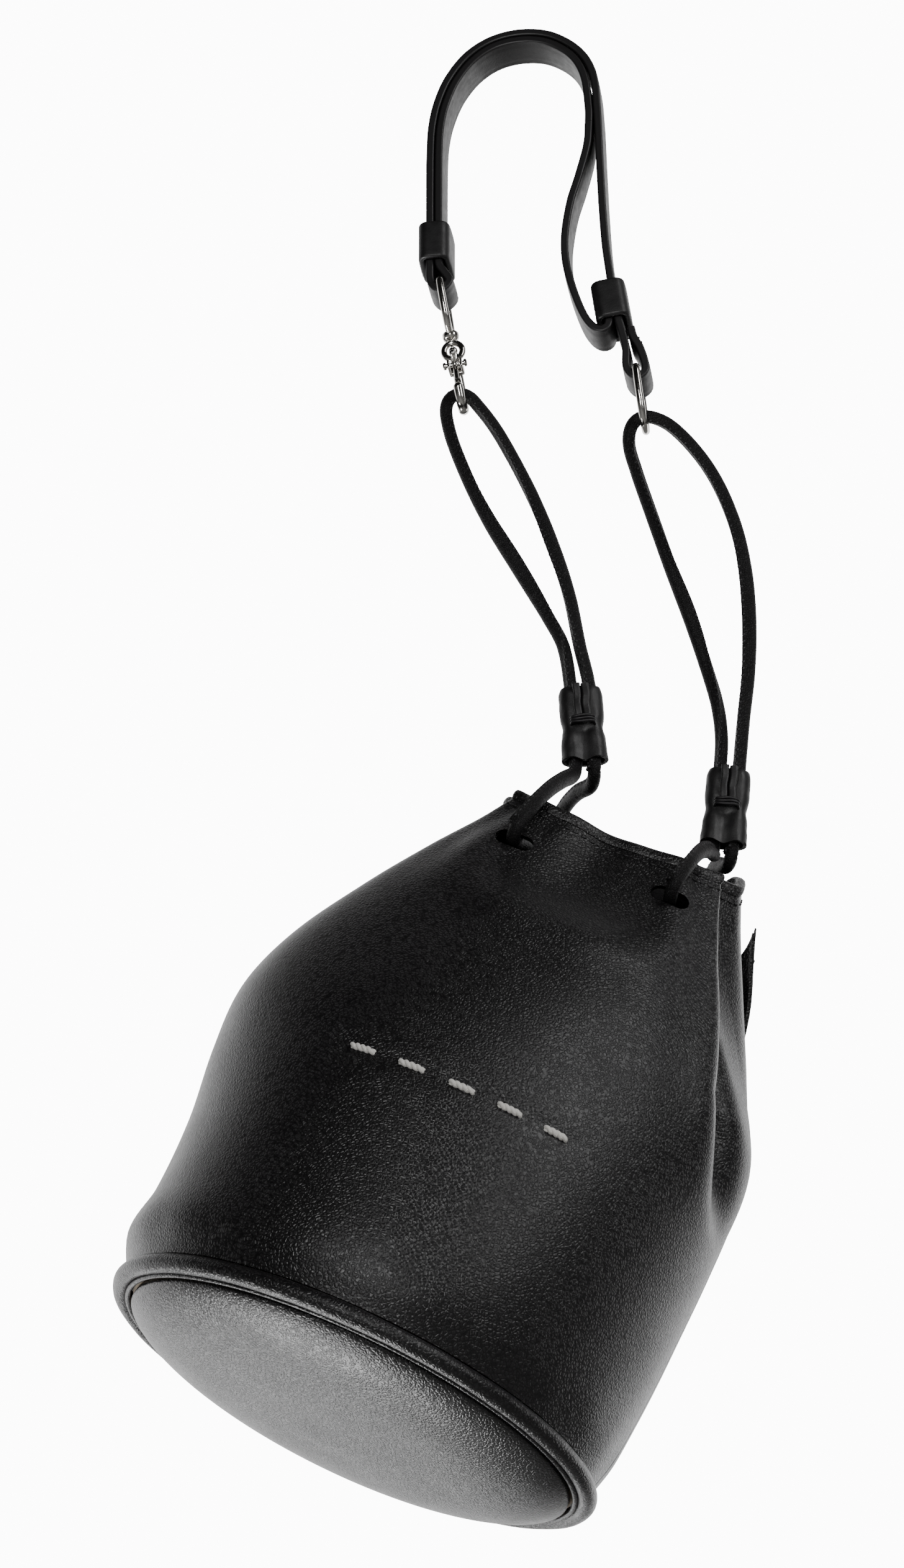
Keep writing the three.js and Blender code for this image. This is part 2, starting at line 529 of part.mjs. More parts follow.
const pin = joined([
  cylinderAlong('x', PIN_RADIUS, 7.2, 12),
  cylinderAlong('x', 1.15, 1, 14).translate(3.1, 0, 0),
  cylinderAlong('x', 1.15, 1, 14).translate(-3.1, 0, 0),
]);
addMesh(addGroup(snap, [0, ...GATE_PIVOT]), 'gate_pin', toGeometry(pin), polishedSteel);

// The gate closes the hook's mouth. Its thumb knob stands out in front above the pin.
const gateEye = cylinderAlong('x', 1.35, 1.5, 14).translate(0, ...GATE_PIVOT);
const gateBar = roundTube([[0, -3.0, -28.2], [0, -3.9, -30.4], [0, -4.5, -33.6]], 0.7, 8, 8);
const gateArm = roundTube([[0, -3.2, -27], [0, -4.4, -25.9], [0, -5.4, -25.3]], 0.6, 6, 8);
const gateKnob = new THREE.SphereGeometry(1.05, 10, 6).translate(0, -5.6, -25.2);
const gateBore = toSolid(cylinderAlong('x', PIN_RADIUS + 0.1, 4, 12).translate(0, ...GATE_PIVOT));
const gate = joined([gateEye, gateBar, gateArm, gateKnob]).subtract(gateBore);
addMesh(snap, 'snap_gate', toGeometry(gate), polishedSteel);
const springGroup = addGroup(snap, [1.08, ...GATE_PIVOT], [0, Math.PI / 2, 0]);
addMesh(springGroup, 'gate_spring', new THREE.TorusGeometry(1.12, 0.2, 5, 14), polishedSteel);

const rightRing = addGroup(strap, [RIGHT_FOLD[0], 0, RIGHT_FOLD[1]], [0, RIGHT_TILT, 0]);
addMesh(rightRing, 'ring_right', ovalRing(RIGHT_RING_DROP), polishedSteel);

export default group;
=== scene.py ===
"""A small black leather drawstring bucket bag, hanging by its doubled hand strap."""

import math

import bmesh
import bpy
import numpy as np
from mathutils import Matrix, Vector, noise


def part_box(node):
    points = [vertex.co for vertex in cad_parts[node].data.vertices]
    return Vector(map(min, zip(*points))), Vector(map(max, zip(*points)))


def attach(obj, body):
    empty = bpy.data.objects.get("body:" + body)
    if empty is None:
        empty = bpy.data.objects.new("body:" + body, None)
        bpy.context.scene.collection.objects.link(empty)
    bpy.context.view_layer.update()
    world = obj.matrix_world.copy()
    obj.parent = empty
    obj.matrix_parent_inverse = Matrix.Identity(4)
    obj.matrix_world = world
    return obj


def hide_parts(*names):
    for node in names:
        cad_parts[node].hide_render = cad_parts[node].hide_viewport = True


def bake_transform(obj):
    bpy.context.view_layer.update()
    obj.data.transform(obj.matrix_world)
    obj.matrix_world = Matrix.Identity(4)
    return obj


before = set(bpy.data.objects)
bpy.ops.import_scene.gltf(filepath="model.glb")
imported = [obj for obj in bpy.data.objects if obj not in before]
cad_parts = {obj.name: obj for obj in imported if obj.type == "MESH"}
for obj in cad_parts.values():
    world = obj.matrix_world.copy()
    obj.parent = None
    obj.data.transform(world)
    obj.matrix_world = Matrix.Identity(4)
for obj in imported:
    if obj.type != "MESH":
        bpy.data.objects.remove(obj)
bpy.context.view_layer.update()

# ---------------------------------------------------------------- studio and camera
# The bag hangs in front of a pale sweep over a plain grey floor. The camera looks up at
# it from below the base, so the light that counts is behind the bag and under it.

CAMERA_PLACE = (-0.021236, -1.098774, -0.756426)
CAMERA_PITCH = math.radians(115)
CAMERA_LENS = 99.76
FLOOR_HEIGHT = -0.98
BACK_LIGHT = 2.6
FRONT_LIGHT = 0.01
OVERHEAD_SHARE = 0.55


def linear(code, alpha=1.0):
    """An sRGB hex colour as linear values."""
    channels = [int(code[i:i + 2], 16) / 255 for i in (1, 3, 5)]
    return (*[c / 12.92 if c <= 0.04045 else ((c + 0.055) / 1.055) ** 2.4 for c in channels], alpha)


def add_node(tree, kind, settings=None, links=None):
    """A node with its properties or input values, and the sockets that feed its inputs."""
    node = tree.nodes.new(kind)
    for key, value in (settings or {}).items():
        if isinstance(key, int) or key in node.inputs:
            node.inputs[key].default_value = value
        else:
            setattr(node, key, value)
    for key, socket in (links or {}).items():
        tree.links.new(socket, node.inputs[key])
    return node


camera_data = bpy.data.cameras.new("camera")
camera_data.lens = CAMERA_LENS
camera_data.sensor_width = 36
camera_data.clip_start = 0.05
camera_data.clip_end = 50
camera = bpy.data.objects.new("camera", camera_data)
camera.location = CAMERA_PLACE
camera.rotation_euler = (CAMERA_PITCH, 0, 0)
bpy.context.scene.collection.objects.link(camera)
bpy.context.scene.camera = camera

world = bpy.data.worlds.new("studio")
bpy.context.scene.world = world
world.use_nodes = True
air = world.node_tree
air.nodes.clear()
direction = add_node(air, "ShaderNodeTexCoord")
parts_of_direction = add_node(air, "ShaderNodeSeparateXYZ", links={0: direction.outputs["Generated"]})
behind = add_node(air, "ShaderNodeMapRange",
                  {"interpolation_type": "SMOOTHSTEP", "From Min": -0.05, "From Max": 0.9,
                   "To Min": FRONT_LIGHT, "To Max": BACK_LIGHT},
                  {"Value": parts_of_direction.outputs["Y"]})
overhead = add_node(air, "ShaderNodeMapRange",
                    {"From Min": 0.0, "From Max": 0.8, "To Min": 1.0, "To Max": OVERHEAD_SHARE},
                    {"Value": parts_of_direction.outputs["Z"]})
falloff = add_node(air, "ShaderNodeMath", {"operation": "MULTIPLY"},
                   {0: behind.outputs["Result"], 1: overhead.outputs["Result"]})
studio_light = add_node(air, "ShaderNodeBackground", {"Color": (1, 1, 1, 1)},
                        {"Strength": falloff.outputs[0]})
sweep = add_node(air, "ShaderNodeBackground", {"Color": (1, 1, 1, 1), "Strength": 12.0})
seen = add_node(air, "ShaderNodeLightPath")
mixed_air = add_node(air, "ShaderNodeMixShader", links={0: seen.outputs["Is Camera Ray"],
                                                       1: studio_light.outputs[0], 2: sweep.outputs[0]})
add_node(air, "ShaderNodeOutputWorld", links={"Surface": mixed_air.outputs[0]})

floor_mesh = bpy.data.meshes.new("floor")
floor_mesh.from_pydata([(-4, -4, FLOOR_HEIGHT), (4, -4, FLOOR_HEIGHT), (4, 4, FLOOR_HEIGHT),
                        (-4, 4, FLOOR_HEIGHT)],
                       [], [(0, 1, 2, 3)])
floor = bpy.data.objects.new("floor", floor_mesh)
bpy.context.scene.collection.objects.link(floor)
floor_paint = bpy.data.materials.new("matt floor paint")
floor_paint.use_nodes = True
floor_paint.node_tree.nodes["Principled BSDF"].inputs["Base Color"].default_value = linear("#8c8c8b")
floor_paint.node_tree.nodes["Principled BSDF"].inputs["Roughness"].default_value = 0.9
floor_mesh.materials.append(floor_paint)

# softboxes: (name, place, aim, width, height, power)
SOFTBOXES = [
    ("softbox_side", (0.62, -0.60, 0.10), (0.02, 0, -0.33), 0.3, 0.8, 4.0),
    ("softbox_front", (-0.20, -1.15, -0.28), (-0.03, 0, -0.35), 0.16, 0.5, 5.5),
    ("softbox_base", (-0.40, 0.25, -0.95), (-0.05, 0, -0.43), 0.6, 0.5, 13.0),
]
for box_name, place, aim, wide, high, power in SOFTBOXES:
    lamp = bpy.data.lights.new(box_name, "AREA")
    lamp.shape = "RECTANGLE"
    lamp.size, lamp.size_y, lamp.energy = wide, high, power
    lamp_object = bpy.data.objects.new(box_name, lamp)
    lamp_object.location = place
    lamp_object.rotation_euler = (Vector(aim) - Vector(place)).to_track_quat("-Z", "Y").to_euler()
    bpy.context.scene.collection.objects.link(lamp_object)

# ---------------------------------------------------------------- drawcords
# Two closed loops of rolled leather: a lambskin strip folded round a soft core and sewn
# along one side, which leaves a narrow flange of raw edge with stitches in it. Each goes
# out of the bag's front slot, up over the strap's fitting and back in at the back slot.

CORD_RADIUS = 0.0019
FLANGE_REACH = 0.0029
CORD_STITCH_PITCH = 0.0021
TIGHTEST_TURN = 0.0030

# route points in mm; the first and last lie in the splice inside the bag
LEFT_ROUTE = [
    (-0.4, 1.9, -266.7), (-0.4, -6, -266.7), (-1.7, -14, -268.9), (-4.3, -22, -271.5),
    (-4.4, -27.6, -270.8),
    (0.4, -26.2, -263.4), (5.0, -20.2, -255.8), (9.2, -12.4, -249.2), (12.4, -4.6, -243.8),
    (13.3, -0.3, -238.6),
    (12.75, 0, -226), (12.1, 0, -213.5), (10.2, 0.3, -200.7), (6.6, 0.6, -192.6), (-2.1, 1.2, -176.3),
    (-10.7, 1.8, -159.9), (-17.6, 2.2, -143.4), (-22.0, 2.6, -129.5), (-22.9, 2.7, -121.6),
    (-21.5, 2.8, -118.3),
    (-18.8, 2.8, -117.1), (-16.2, 2.8, -118.1), (-13.2, 2.6, -121.9), (-9.3, 2.4, -127.8),
    (-5.4, 2.2, -135.2),
    (2.0, 1.8, -151.8), (7.8, 1.4, -168.2), (12.2, 1, -184.4), (14.9, 0.5, -200.5), (17.4, 0, -213.5),
    (18.05, 0, -226), (18.4, 0, -234), (18.6, 0.3, -239.6), (17.9, 5, -242.2), (14.2, 13, -241.2),
    (11.2, 21, -241.2), (8.4, 28.4, -243.6), (5.2, 32.8, -249.6), (2.6, 32.6, -256.2), (1.3, 27.6, -259.6),
    (0.2, 19, -263.6), (-0.4, 11, -266.5), (-0.4, 2.4, -266.7),
]
RIGHT_ROUTE = [
    (38.8, 1.9, -283.1), (38.8, -6, -283.1), (38.2, -13.5, -286), (37.6, -19, -288.1), (37.7, -24, -288.5),
    (38.3, -27.8, -287.4), (42.2, -26, -280.8), (45.8, -19.4, -274), (49.2, -11, -269.6),
    (50.9, -4.6, -267.8),
    (51, -0.3, -265), (52.3, 0, -252.5), (53.55, 0, -240.5), (54.3, -0.3, -230), (53.4, -0.6, -220),
    (50.8, -1, -209.2), (46.3, -2, -193.9), (41.3, -3, -178.6), (36.5, -4, -163), (31.8, -4.6, -147.1),
    (29.8, -5, -138.6), (30.2, -5.1, -133.6), (31.9, -5.1, -130.5), (34.7, -5.1, -129.2),
    (39.9, -5.1, -130.9),
    (45.4, -5, -135.9), (53.2, -4.5, -147.1), (59.4, -4, -163), (62.4, -3, -178.6), (63.2, -2, -193.9),
    (62.5, -1, -209.2), (60.6, -0.4, -224.5), (58.9, 0, -240.5), (57.6, 0, -252.5), (56.7, 0, -260.5),
    (56.2, 0.3, -265.9), (55.2, 6, -266.6), (53.6, 13.6, -263.4), (51.8, 21, -261.9), (50.2, 28.6, -263.4),
    (47.4, 33, -268.8), (44.9, 32.8, -274.8), (43.5, 27.6, -277.6), (41.6, 19, -281), (38.8, 11, -283.1),
    (38.8, 2.4, -283.1),
]
MM = 0.001


def smooth_line(points, per_span, closed=False, power=0.25):
    """A Catmull-Rom line through points; power 0.25 is centripetal and 0 is uniform."""
    points = np.array(points, float)
    if closed:
        padded = np.vstack([points[-1], points, points[0], points[1]])
    else:
        padded = np.vstack([2 * points[0] - points[1], points, 2 * points[-1] - points[-2]])
    line = []
    for before, start, end, after in zip(padded, padded[1:], padded[2:], padded[3:]):
        gaps = [max(np.sum((q - p) ** 2) ** power, 1e-9) for p,
                q in ((before, start), (start, end), (end, after))]
        leaving = ((start - before) / gaps[0] - (end - before) / (gaps[0] + gaps[1])
                   + (end - start) / gaps[1]) * gaps[1]
        arriving = ((end - start) / gaps[1] - (after - start) / (gaps[1] + gaps[2])
                    + (after - end) / gaps[2]) * gaps[1]
        for t in np.arange(per_span) / per_span:
            line.append((2 * t**3 - 3 * t**2 + 1) * start + (t**3 - 2 * t**2 + t) * leaving
                        + (3 * t**2 - 2 * t**3) * end + (t**3 - t**2) * arriving)
    if not closed:
        line.append(points[-1])
    return np.array(line)


def evenly(line, step):
    """The same line with points a step apart."""
    travelled = np.concatenate([[0], np.cumsum(np.linalg.norm(np.diff(line, axis=0), axis=1))])
    places = np.linspace(0, travelled[-1], max(2, round(travelled[-1] / step) + 1))
    return np.column_stack([np.interp(places, travelled, line[:, axis]) for axis in range(line.shape[1])])


def eased(line, radius):
    """The same line with every turn tighter than the radius opened out a little."""
    line = line.copy()
    for _ in range(60):
        before, after = line[1:-1] - line[:-2], line[2:] - line[1:-1]
        lengths = np.linalg.norm(before, axis=1), np.linalg.norm(after, axis=1)
        turn = np.arccos(np.clip(np.sum(before * after, axis=1) / (lengths[0] * lengths[1]), -1, 1))
        tight = turn > (lengths[0] + lengths[1]) / 2 / radius
        if not tight.any():
            break
        line[1:-1][tight] += 0.25 * (after - before)[tight]
    return line


def line_frames(line, side, closed=False):
    """Unit side and up vectors along a line, the side as near as can be to the wanted one."""
    if closed:
        tangent = np.roll(line, -1, 0) - np.roll(line, 1, 0)
    else:
        tangent = np.gradient(line, axis=0)
    tangent /= np.linalg.norm(tangent, axis=1)[:, None]
    side = np.broadcast_to(np.array(side, float), line.shape)
    side = side - np.sum(side * tangent, 1)[:, None] * tangent
    side = side / np.linalg.norm(side, axis=1)[:, None]
    return side, np.cross(tangent, side)


def carried_side(line, first):
    """A side vector carried along a line without twist."""
    tangent = np.gradient(line, axis=0)
    tangent /= np.linalg.norm(tangent, axis=1)[:, None]
    side = [np.array(first, float)]
    for now in tangent:
        turned = side[-1] - np.dot(side[-1], now) * now
        side.append(turned / np.linalg.norm(turned))
    return np.array(side[1:])


def grid_part(points, rows_closed=False, columns_closed=False, capped=False, slots=None):
    """A grid of points as vertices, faces and the faces' corner UVs, in metres along it."""
    rows, columns = points.shape[:2]
    index = np.arange(rows * columns).reshape(rows, columns)
    middle = points.mean(axis=1)
    along = np.concatenate([[0], np.cumsum(np.linalg.norm(np.roll(middle, -1, 0) - middle, axis=1))])
    ring = points[rows // 2]
    across = np.concatenate([[0], np.cumsum(np.linalg.norm(np.roll(ring, -1, 0) - ring, axis=1))])
    faces, corners = [], []
    for row in range(rows if rows_closed else rows - 1):
        for column in range(columns if columns_closed else columns - 1):
            below, right = (row + 1) % rows, (column + 1) % columns
            faces.append((index[row, column], index[row, right], index[below, right], index[below, column]))
            corners.append(((along[row], across[column]), (along[row], across[column + 1]),
                            (along[row + 1], across[column + 1]), (along[row + 1], across[column])))
    if capped:
        for row in (0, rows - 1):
            faces.append(tuple(index[row]))
            corners.append([(along[row], v) for v in across[:-1]])
    return points.reshape(-1, 3), faces, corners


def swept_part(line, profile, side, closed=False):
    """A profile of (side, up) points carried along a line."""
    side, up = line_frames(line, side, closed)
    profile = np.array(profile)
    points = (line[:, None] + side[:, None] * profile[None, :, 0, None] + up[:, None] * profile[None, :, 1,
                                                                                                None])
    return grid_part(points, rows_closed=closed, columns_closed=True, capped=not closed)


def build(name, parts, material, smooth_angle=50):
    """One mesh object from parts, with its faces turned outwards and shaded smooth."""
    vertices, faces, corners = [], [], []
    for points, part_faces, part_corners in parts:
        base = len(vertices)
        vertices.extend(map(tuple, points))
        faces.extend([tuple(int(i) + base for i in face) for face in part_faces])
        corners.extend(part_corners)
    mesh = bpy.data.meshes.new(name)
    mesh.from_pydata(vertices, [], faces)
    layer = mesh.uv_layers.new(name="UVMap")
    layer.data.foreach_set("uv", np.array([uv for face in corners for uv in face], np.float32).ravel())
    made = bmesh.new()
    made.from_mesh(mesh)
    bmesh.ops.recalc_face_normals(made, faces=made.faces)
    made.to_mesh(mesh)
    made.free()
    mesh.materials.append(material)
    mesh.shade_smooth()
    mesh.set_sharp_from_angle(angle=math.radians(smooth_angle))
    obj = bpy.data.objects.new(name, mesh)
    bpy.context.scene.collection.objects.link(obj)
    return obj


def stand_for(obj, body, nodes):
    """The piece rides on its body and stands for its CAD nodes."""
    if nodes:
        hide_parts(*nodes)
    if body:
        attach(obj, body)
    return obj


def circle(radius, sides, phase=0.0):
    return [(radius * math.cos(phase + 2 * math.pi * i / sides),
             radius * math.sin(phase + 2 * math.pi * i / sides))
            for i in range(sides)]


def principled(name, code, roughness, **settings):
    """A material's tree and shader, started from one colour and roughness."""
    material = bpy.data.materials.new(name)
    material.use_nodes = True
    shader = material.node_tree.nodes["Principled BSDF"]
    shader.inputs["Base Color"].default_value = linear(code)
    shader.inputs["Roughness"].default_value = roughness
    for key, value in settings.items():
        shader.inputs[key.replace("_", " ")].default_value = value
    return material, material.node_tree, shader


# Rolled lambskin: dyed black through, with a soft gloss from handling. It wrinkles across
# the cord, about every 0.9 mm, where the roll bends.
cord_leather, tree, shader = principled("rolled lambskin", "#131213", 0.55, Specular_IOR_Level=0.25)
cord_uv = add_node(tree, "ShaderNodeUVMap", {"uv_map": "UVMap"})
wrinkle_place = add_node(tree, "ShaderNodeMapping", {"Scale": (1100, 260, 1)},
                         {"Vector": cord_uv.outputs[0]})
wrinkle = add_node(tree, "ShaderNodeTexNoise", {"Scale": 1.0, "Detail": 3.0, "Distortion": 0.6},
                   {"Vector": wrinkle_place.outputs[0]})
pore_place = add_node(tree, "ShaderNodeTexCoord")
pore = add_node(tree, "ShaderNodeTexVoronoi", {"Scale": 1500.0, "feature": "DISTANCE_TO_EDGE"},
                {"Vector": pore_place.outputs["Object"]})
pore_depth = add_node(tree, "ShaderNodeMapRange", {"From Max": 0.18, "To Max": 0.5},
                      {"Value": pore.outputs["Distance"]})
cord_height = add_node(tree, "ShaderNodeMath", {"operation": "ADD"},
                       {0: wrinkle.outputs[0], 1: pore_depth.outputs[0]})
cord_bump = add_node(tree, "ShaderNodeBump", {"Strength": 0.6, "Distance": 0.00045},
                     {"Height": cord_height.outputs[0]})
tree.links.new(cord_bump.outputs[0], shader.inputs["Normal"])
cord_shade = add_node(tree, "ShaderNodeMapRange",
                      {"From Min": 0.3, "From Max": 0.75, "To Min": 0.62, "To Max": 0.47},
                      {"Value": wrinkle.outputs[0]})
tree.links.new(cord_shade.outputs[0], shader.inputs["Roughness"])

# Waxed polyester thread: black, round, with a dull gloss; the twist is 0.5 mm long.
thread, tree, shader = principled("waxed thread", "#19181a", 0.5)
ply_place = add_node(tree, "ShaderNodeTexCoord")
ply = add_node(tree, "ShaderNodeTexWave",
               {"Scale": 320.0, "Distortion": 2.0, "bands_direction": "DIAGONAL"},
               {"Vector": ply_place.outputs["Object"]})
ply_bump = add_node(tree, "ShaderNodeBump", {"Strength": 0.5, "Distance": 0.0001},
                    {"Height": ply.outputs[0]})
tree.links.new(ply_bump.outputs[0], shader.inputs["Normal"])

# Geometry Nodes: one stitch for each pitch along a line
stitch_row = bpy.data.node_groups.new("stitch row", "GeometryNodeTree")
stitch_inputs = {}
for socket_name, socket_type in (("Line", "NodeSocketGeometry"), ("Pitch", "NodeSocketFloat"),
                                 ("Length", "NodeSocketFloat"), ("Thickness", "NodeSocketFloat"),
                                 ("Material", "NodeSocketMaterial")):
    stitch_inputs[socket_name] = stitch_row.interface.new_socket(
        name=socket_name, in_out="INPUT", socket_type=socket_type).identifier
stitch_row.interface.new_socket(name="Stitches", in_out="OUTPUT", socket_type="NodeSocketGeometry")
given = add_node(stitch_row, "NodeGroupInput")
as_curve = add_node(stitch_row, "GeometryNodeMeshToCurve", links={0: given.outputs["Line"]})
spaced_out = add_node(stitch_row, "GeometryNodeResampleCurve", {"mode": "LENGTH"},
                      {"Curve": as_curve.outputs[0], "Length": given.outputs["Pitch"]})
heading = add_node(stitch_row, "GeometryNodeInputTangent")
turned_to = add_node(stitch_row, "FunctionNodeAlignRotationToVector", {"axis": "X"},
                     {"Vector": heading.outputs[0]})
one_stitch = add_node(stitch_row, "GeometryNodeMeshUVSphere", {"Segments": 8, "Rings": 6, "Radius": 0.5})
stitch_size = add_node(stitch_row, "ShaderNodeCombineXYZ", links={
    "X": given.outputs["Length"], "Y": given.outputs["Thickness"], "Z": given.outputs["Thickness"]})
sewn = add_node(stitch_row, "GeometryNodeInstanceOnPoints", links={
    "Points": spaced_out.outputs[0], "Instance": one_stitch.outputs[0],
    "Rotation": turned_to.outputs[0], "Scale": stitch_size.outputs[0]})
real_stitches = add_node(stitch_row, "GeometryNodeRealizeInstances", links={0: sewn.outputs[0]})
round_stitches = add_node(stitch_row, "GeometryNodeSetShadeSmooth", links={0: real_stitches.outputs[0]})
thread_on = add_node(stitch_row, "GeometryNodeSetMaterial", links={
    "Geometry": round_stitches.outputs[0], "Material": given.outputs["Material"]})
add_node(stitch_row, "NodeGroupOutput", links={0: thread_on.outputs[0]})


def stitched(name, lines, pitch, length, thickness, material, closed=False):
    """Rows of stitches along lines of points, as one plain mesh object."""
    vertices, edges = [], []
    for line in lines:
        base, count = len(vertices), len(line)
        vertices.extend(map(tuple, line))
        edges.extend((base + i, base + (i + 1) % count) for i in range(count if closed else count - 1))
    path = bpy.data.meshes.new(name + "_path")
    path.from_pydata(vertices, edges, [])
    host = bpy.data.objects.new(name + "_path", path)
    bpy.context.scene.collection.objects.link(host)
    rows = host.modifiers.new("rows", "NODES")
    rows.node_group = stitch_row
    for key, value in (("Pitch", pitch), ("Length", length), ("Thickness", thickness),
                       ("Material", material)):
        rows[stitch_inputs[key]] = value
    bpy.context.view_layer.update()
    mesh = bpy.data.meshes.new_from_object(host.evaluated_get(bpy.context.evaluated_depsgraph_get()))
    mesh.name = name
    bpy.data.objects.remove(host)
    obj = bpy.data.objects.new(name, mesh)
    bpy.context.scene.collection.objects.link(obj)
    return obj


cord_lines = {}
cord_profile = []
for angle in np.linspace(0, 2 * math.pi, 22, endpoint=False):
    # the flange stands out on the +side
    out = CORD_RADIUS + (FLANGE_REACH - CORD_RADIUS) * math.exp(-((math.remainder(angle,
                                                                                  2 * math.pi) / 0.22) ** 2))
    cord_profile.append((out * math.cos(angle), out * math.sin(angle)))
LOOP_MIDDLES = {"left": (1.0, 1.5, -170.0), "right": (50.0, -3.0, -190.0)}
cord_pieces = {}
for side_name, route in (("left", LEFT_ROUTE), ("right", RIGHT_ROUTE)):
    line = evenly(eased(evenly(smooth_line(np.array(route) * MM, 16), 0.0012), TIGHTEST_TURN), 0.0012)
    cord_lines[side_name] = line
    # the flange faces the inside of the hanging loop and a little forwards
    inwards = np.array(LOOP_MIDDLES[side_name]) * MM - line
    inwards = inwards / np.linalg.norm(inwards, axis=1)[:, None] + np.array((0, -0.55, 0))
    for _ in range(40):
        inwards[1:-1] = (inwards[:-2] + inwards[1:-1] + inwards[2:]) / 3
    cord = build(f"cord_{side_name}", [swept_part(line, cord_profile, inwards)], cord_leather, 80)
    stand_for(cord, "bag", [f"drawcord_{side_name}"])
    side, _ = line_frames(line, inwards)
    seam = stitched(f"cord_stitches_{side_name}", [line + side * (CORD_RADIUS + 0.00035)],
                    CORD_STITCH_PITCH,
                    0.0013, 0.0011, thread)
    stand_for(seam, "bag", [])
    cord_pieces[side_name] = (cord, seam)

# The splice that holds a cord's two ends: a sleeve of the same leather, rolled and glued
for side_name in ("left", "right"):
    low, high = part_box(f"cord_splice_{side_name}")
    middle = (low + high) / 2
    section = [(-0.5, 2.35), (-0.48, 3.1), (-0.4, 3.3), (0.4, 3.3), (0.48, 3.1), (0.5, 2.35), (0.4, 2.3),
               (-0.4, 2.3)]
    half = (high.y - low.y) / 2
    turns = np.linspace(0, 2 * math.pi, 32, endpoint=False)
    sleeve = np.array([[(middle.x + r * MM * math.cos(a), middle.y + 2 * half * t,
                         middle.z + r * MM * math.sin(a))
                        for t, r in section] for a in turns])
    splice = build(f"splice_{side_name}", [grid_part(sleeve, True, True)], cord_leather)
    stand_for(splice, "bag", [f"cord_splice_{side_name}"])
    cord_pieces[side_name] += (splice,)

# ---------------------------------------------------------------- bag wall
# Two panels of black lambskin, joined by a seam at each side, and gathered at the mouth
# by the drawcords. The leather is soft, so it falls into a deep pleat at each side and is
# drawn in between the front slots. Inside are a leather facing and a cotton lining.

BASE_PLACE = np.array((-48.4, 1.6, -422.4))
BAG_LEAN = math.radians(24.7)
WALL_FOOT = 5.7
RIM_HEIGHT = 176.0
RIM_TILT = 7.0
WALL_THICKNESS = 1.8
SEAM_ANGLE = 0.004
PLEAT_CENTRE, PLEAT_WIDTH = -0.2, 0.32
PANEL_COLUMNS, PANEL_ROWS = 190, 116
# height, half widths left and right, half depths front and back, pleat depth, power
WALL_PROFILE = np.array([
    (5.7, 67.6, 67.4, 67.4, 67.4, 0, 2), (15, 72.2, 69.2, 69.5, 69.2, 0, 2),
    (28, 71.0, 70.2, 69.4, 69, 0, 2),
    (50, 72.2, 71.4, 66.8, 67, 0, 2), (72, 75.0, 72.2, 63.5, 64, 0, 2), (92, 76.9, 72.2, 58.5, 60, 2, 2.05),
    (110, 74.2, 69.4, 52, 54, 6, 2.1), (130, 65.6, 61.5, 43, 46, 11, 2.2),
    (150, 54, 51.2, 33.5, 36, 14, 2.3),
    (165, 44, 43, 26, 28.5, 15, 2.4), (176, 37, 37.5, 21, 22, 14, 2.5),
])
SLOT_SIZE = (11.0, 5.4)
SLOTS = [(-23, 155.5, -1), (22, 158, -1), (-23, 169, 1), (23, 170, 1)]  # across, up, side
STITCH_ANGLES = [4.712 + 0.19 * i for i in (-2, -1, 0, 1, 2)]
STITCH_RISE = 0.40


def bag_place(points):
    """Points in the bag's own frame, in mm, as places in metres."""
    x, y, z = np.moveaxis(np.asarray(points, float), -1, 0)
    c, s = math.cos(BAG_LEAN), math.sin(BAG_LEAN)
    return (np.stack([x * c + z * s, y, z * c - x * s], axis=-1) + BASE_PLACE) * MM


def profile_at(height):
    rows = WALL_PROFILE[:, 0]
    slopes = np.gradient(WALL_PROFILE[:, 1:], axis=0)
    reach = np.empty(len(rows))
    reach[1:-1], reach[0], reach[-1] = (rows[2:] - rows[:-2]) / 2, rows[1] - rows[0], rows[-1] - rows[-2]
    slopes = slopes / reach[:, None]
    row = np.clip(np.searchsorted(rows, height, side="left") - 1, 0, len(rows) - 2)
    span = (rows[row + 1] - rows[row])[..., None]
    t = (height - rows[row])[..., None] / span
    low, high = WALL_PROFILE[row, 1:], WALL_PROFILE[row + 1, 1:]
    shape = ((2 * t**3 - 3 * t**2 + 1) * low + (t**3 - 2 * t**2 + t) * span * slopes[row]
             + (3 * t**2 - 2 * t**3) * high + (t**3 - t**2) * span * slopes[row + 1])
    return np.moveaxis(shape, -1, 0)


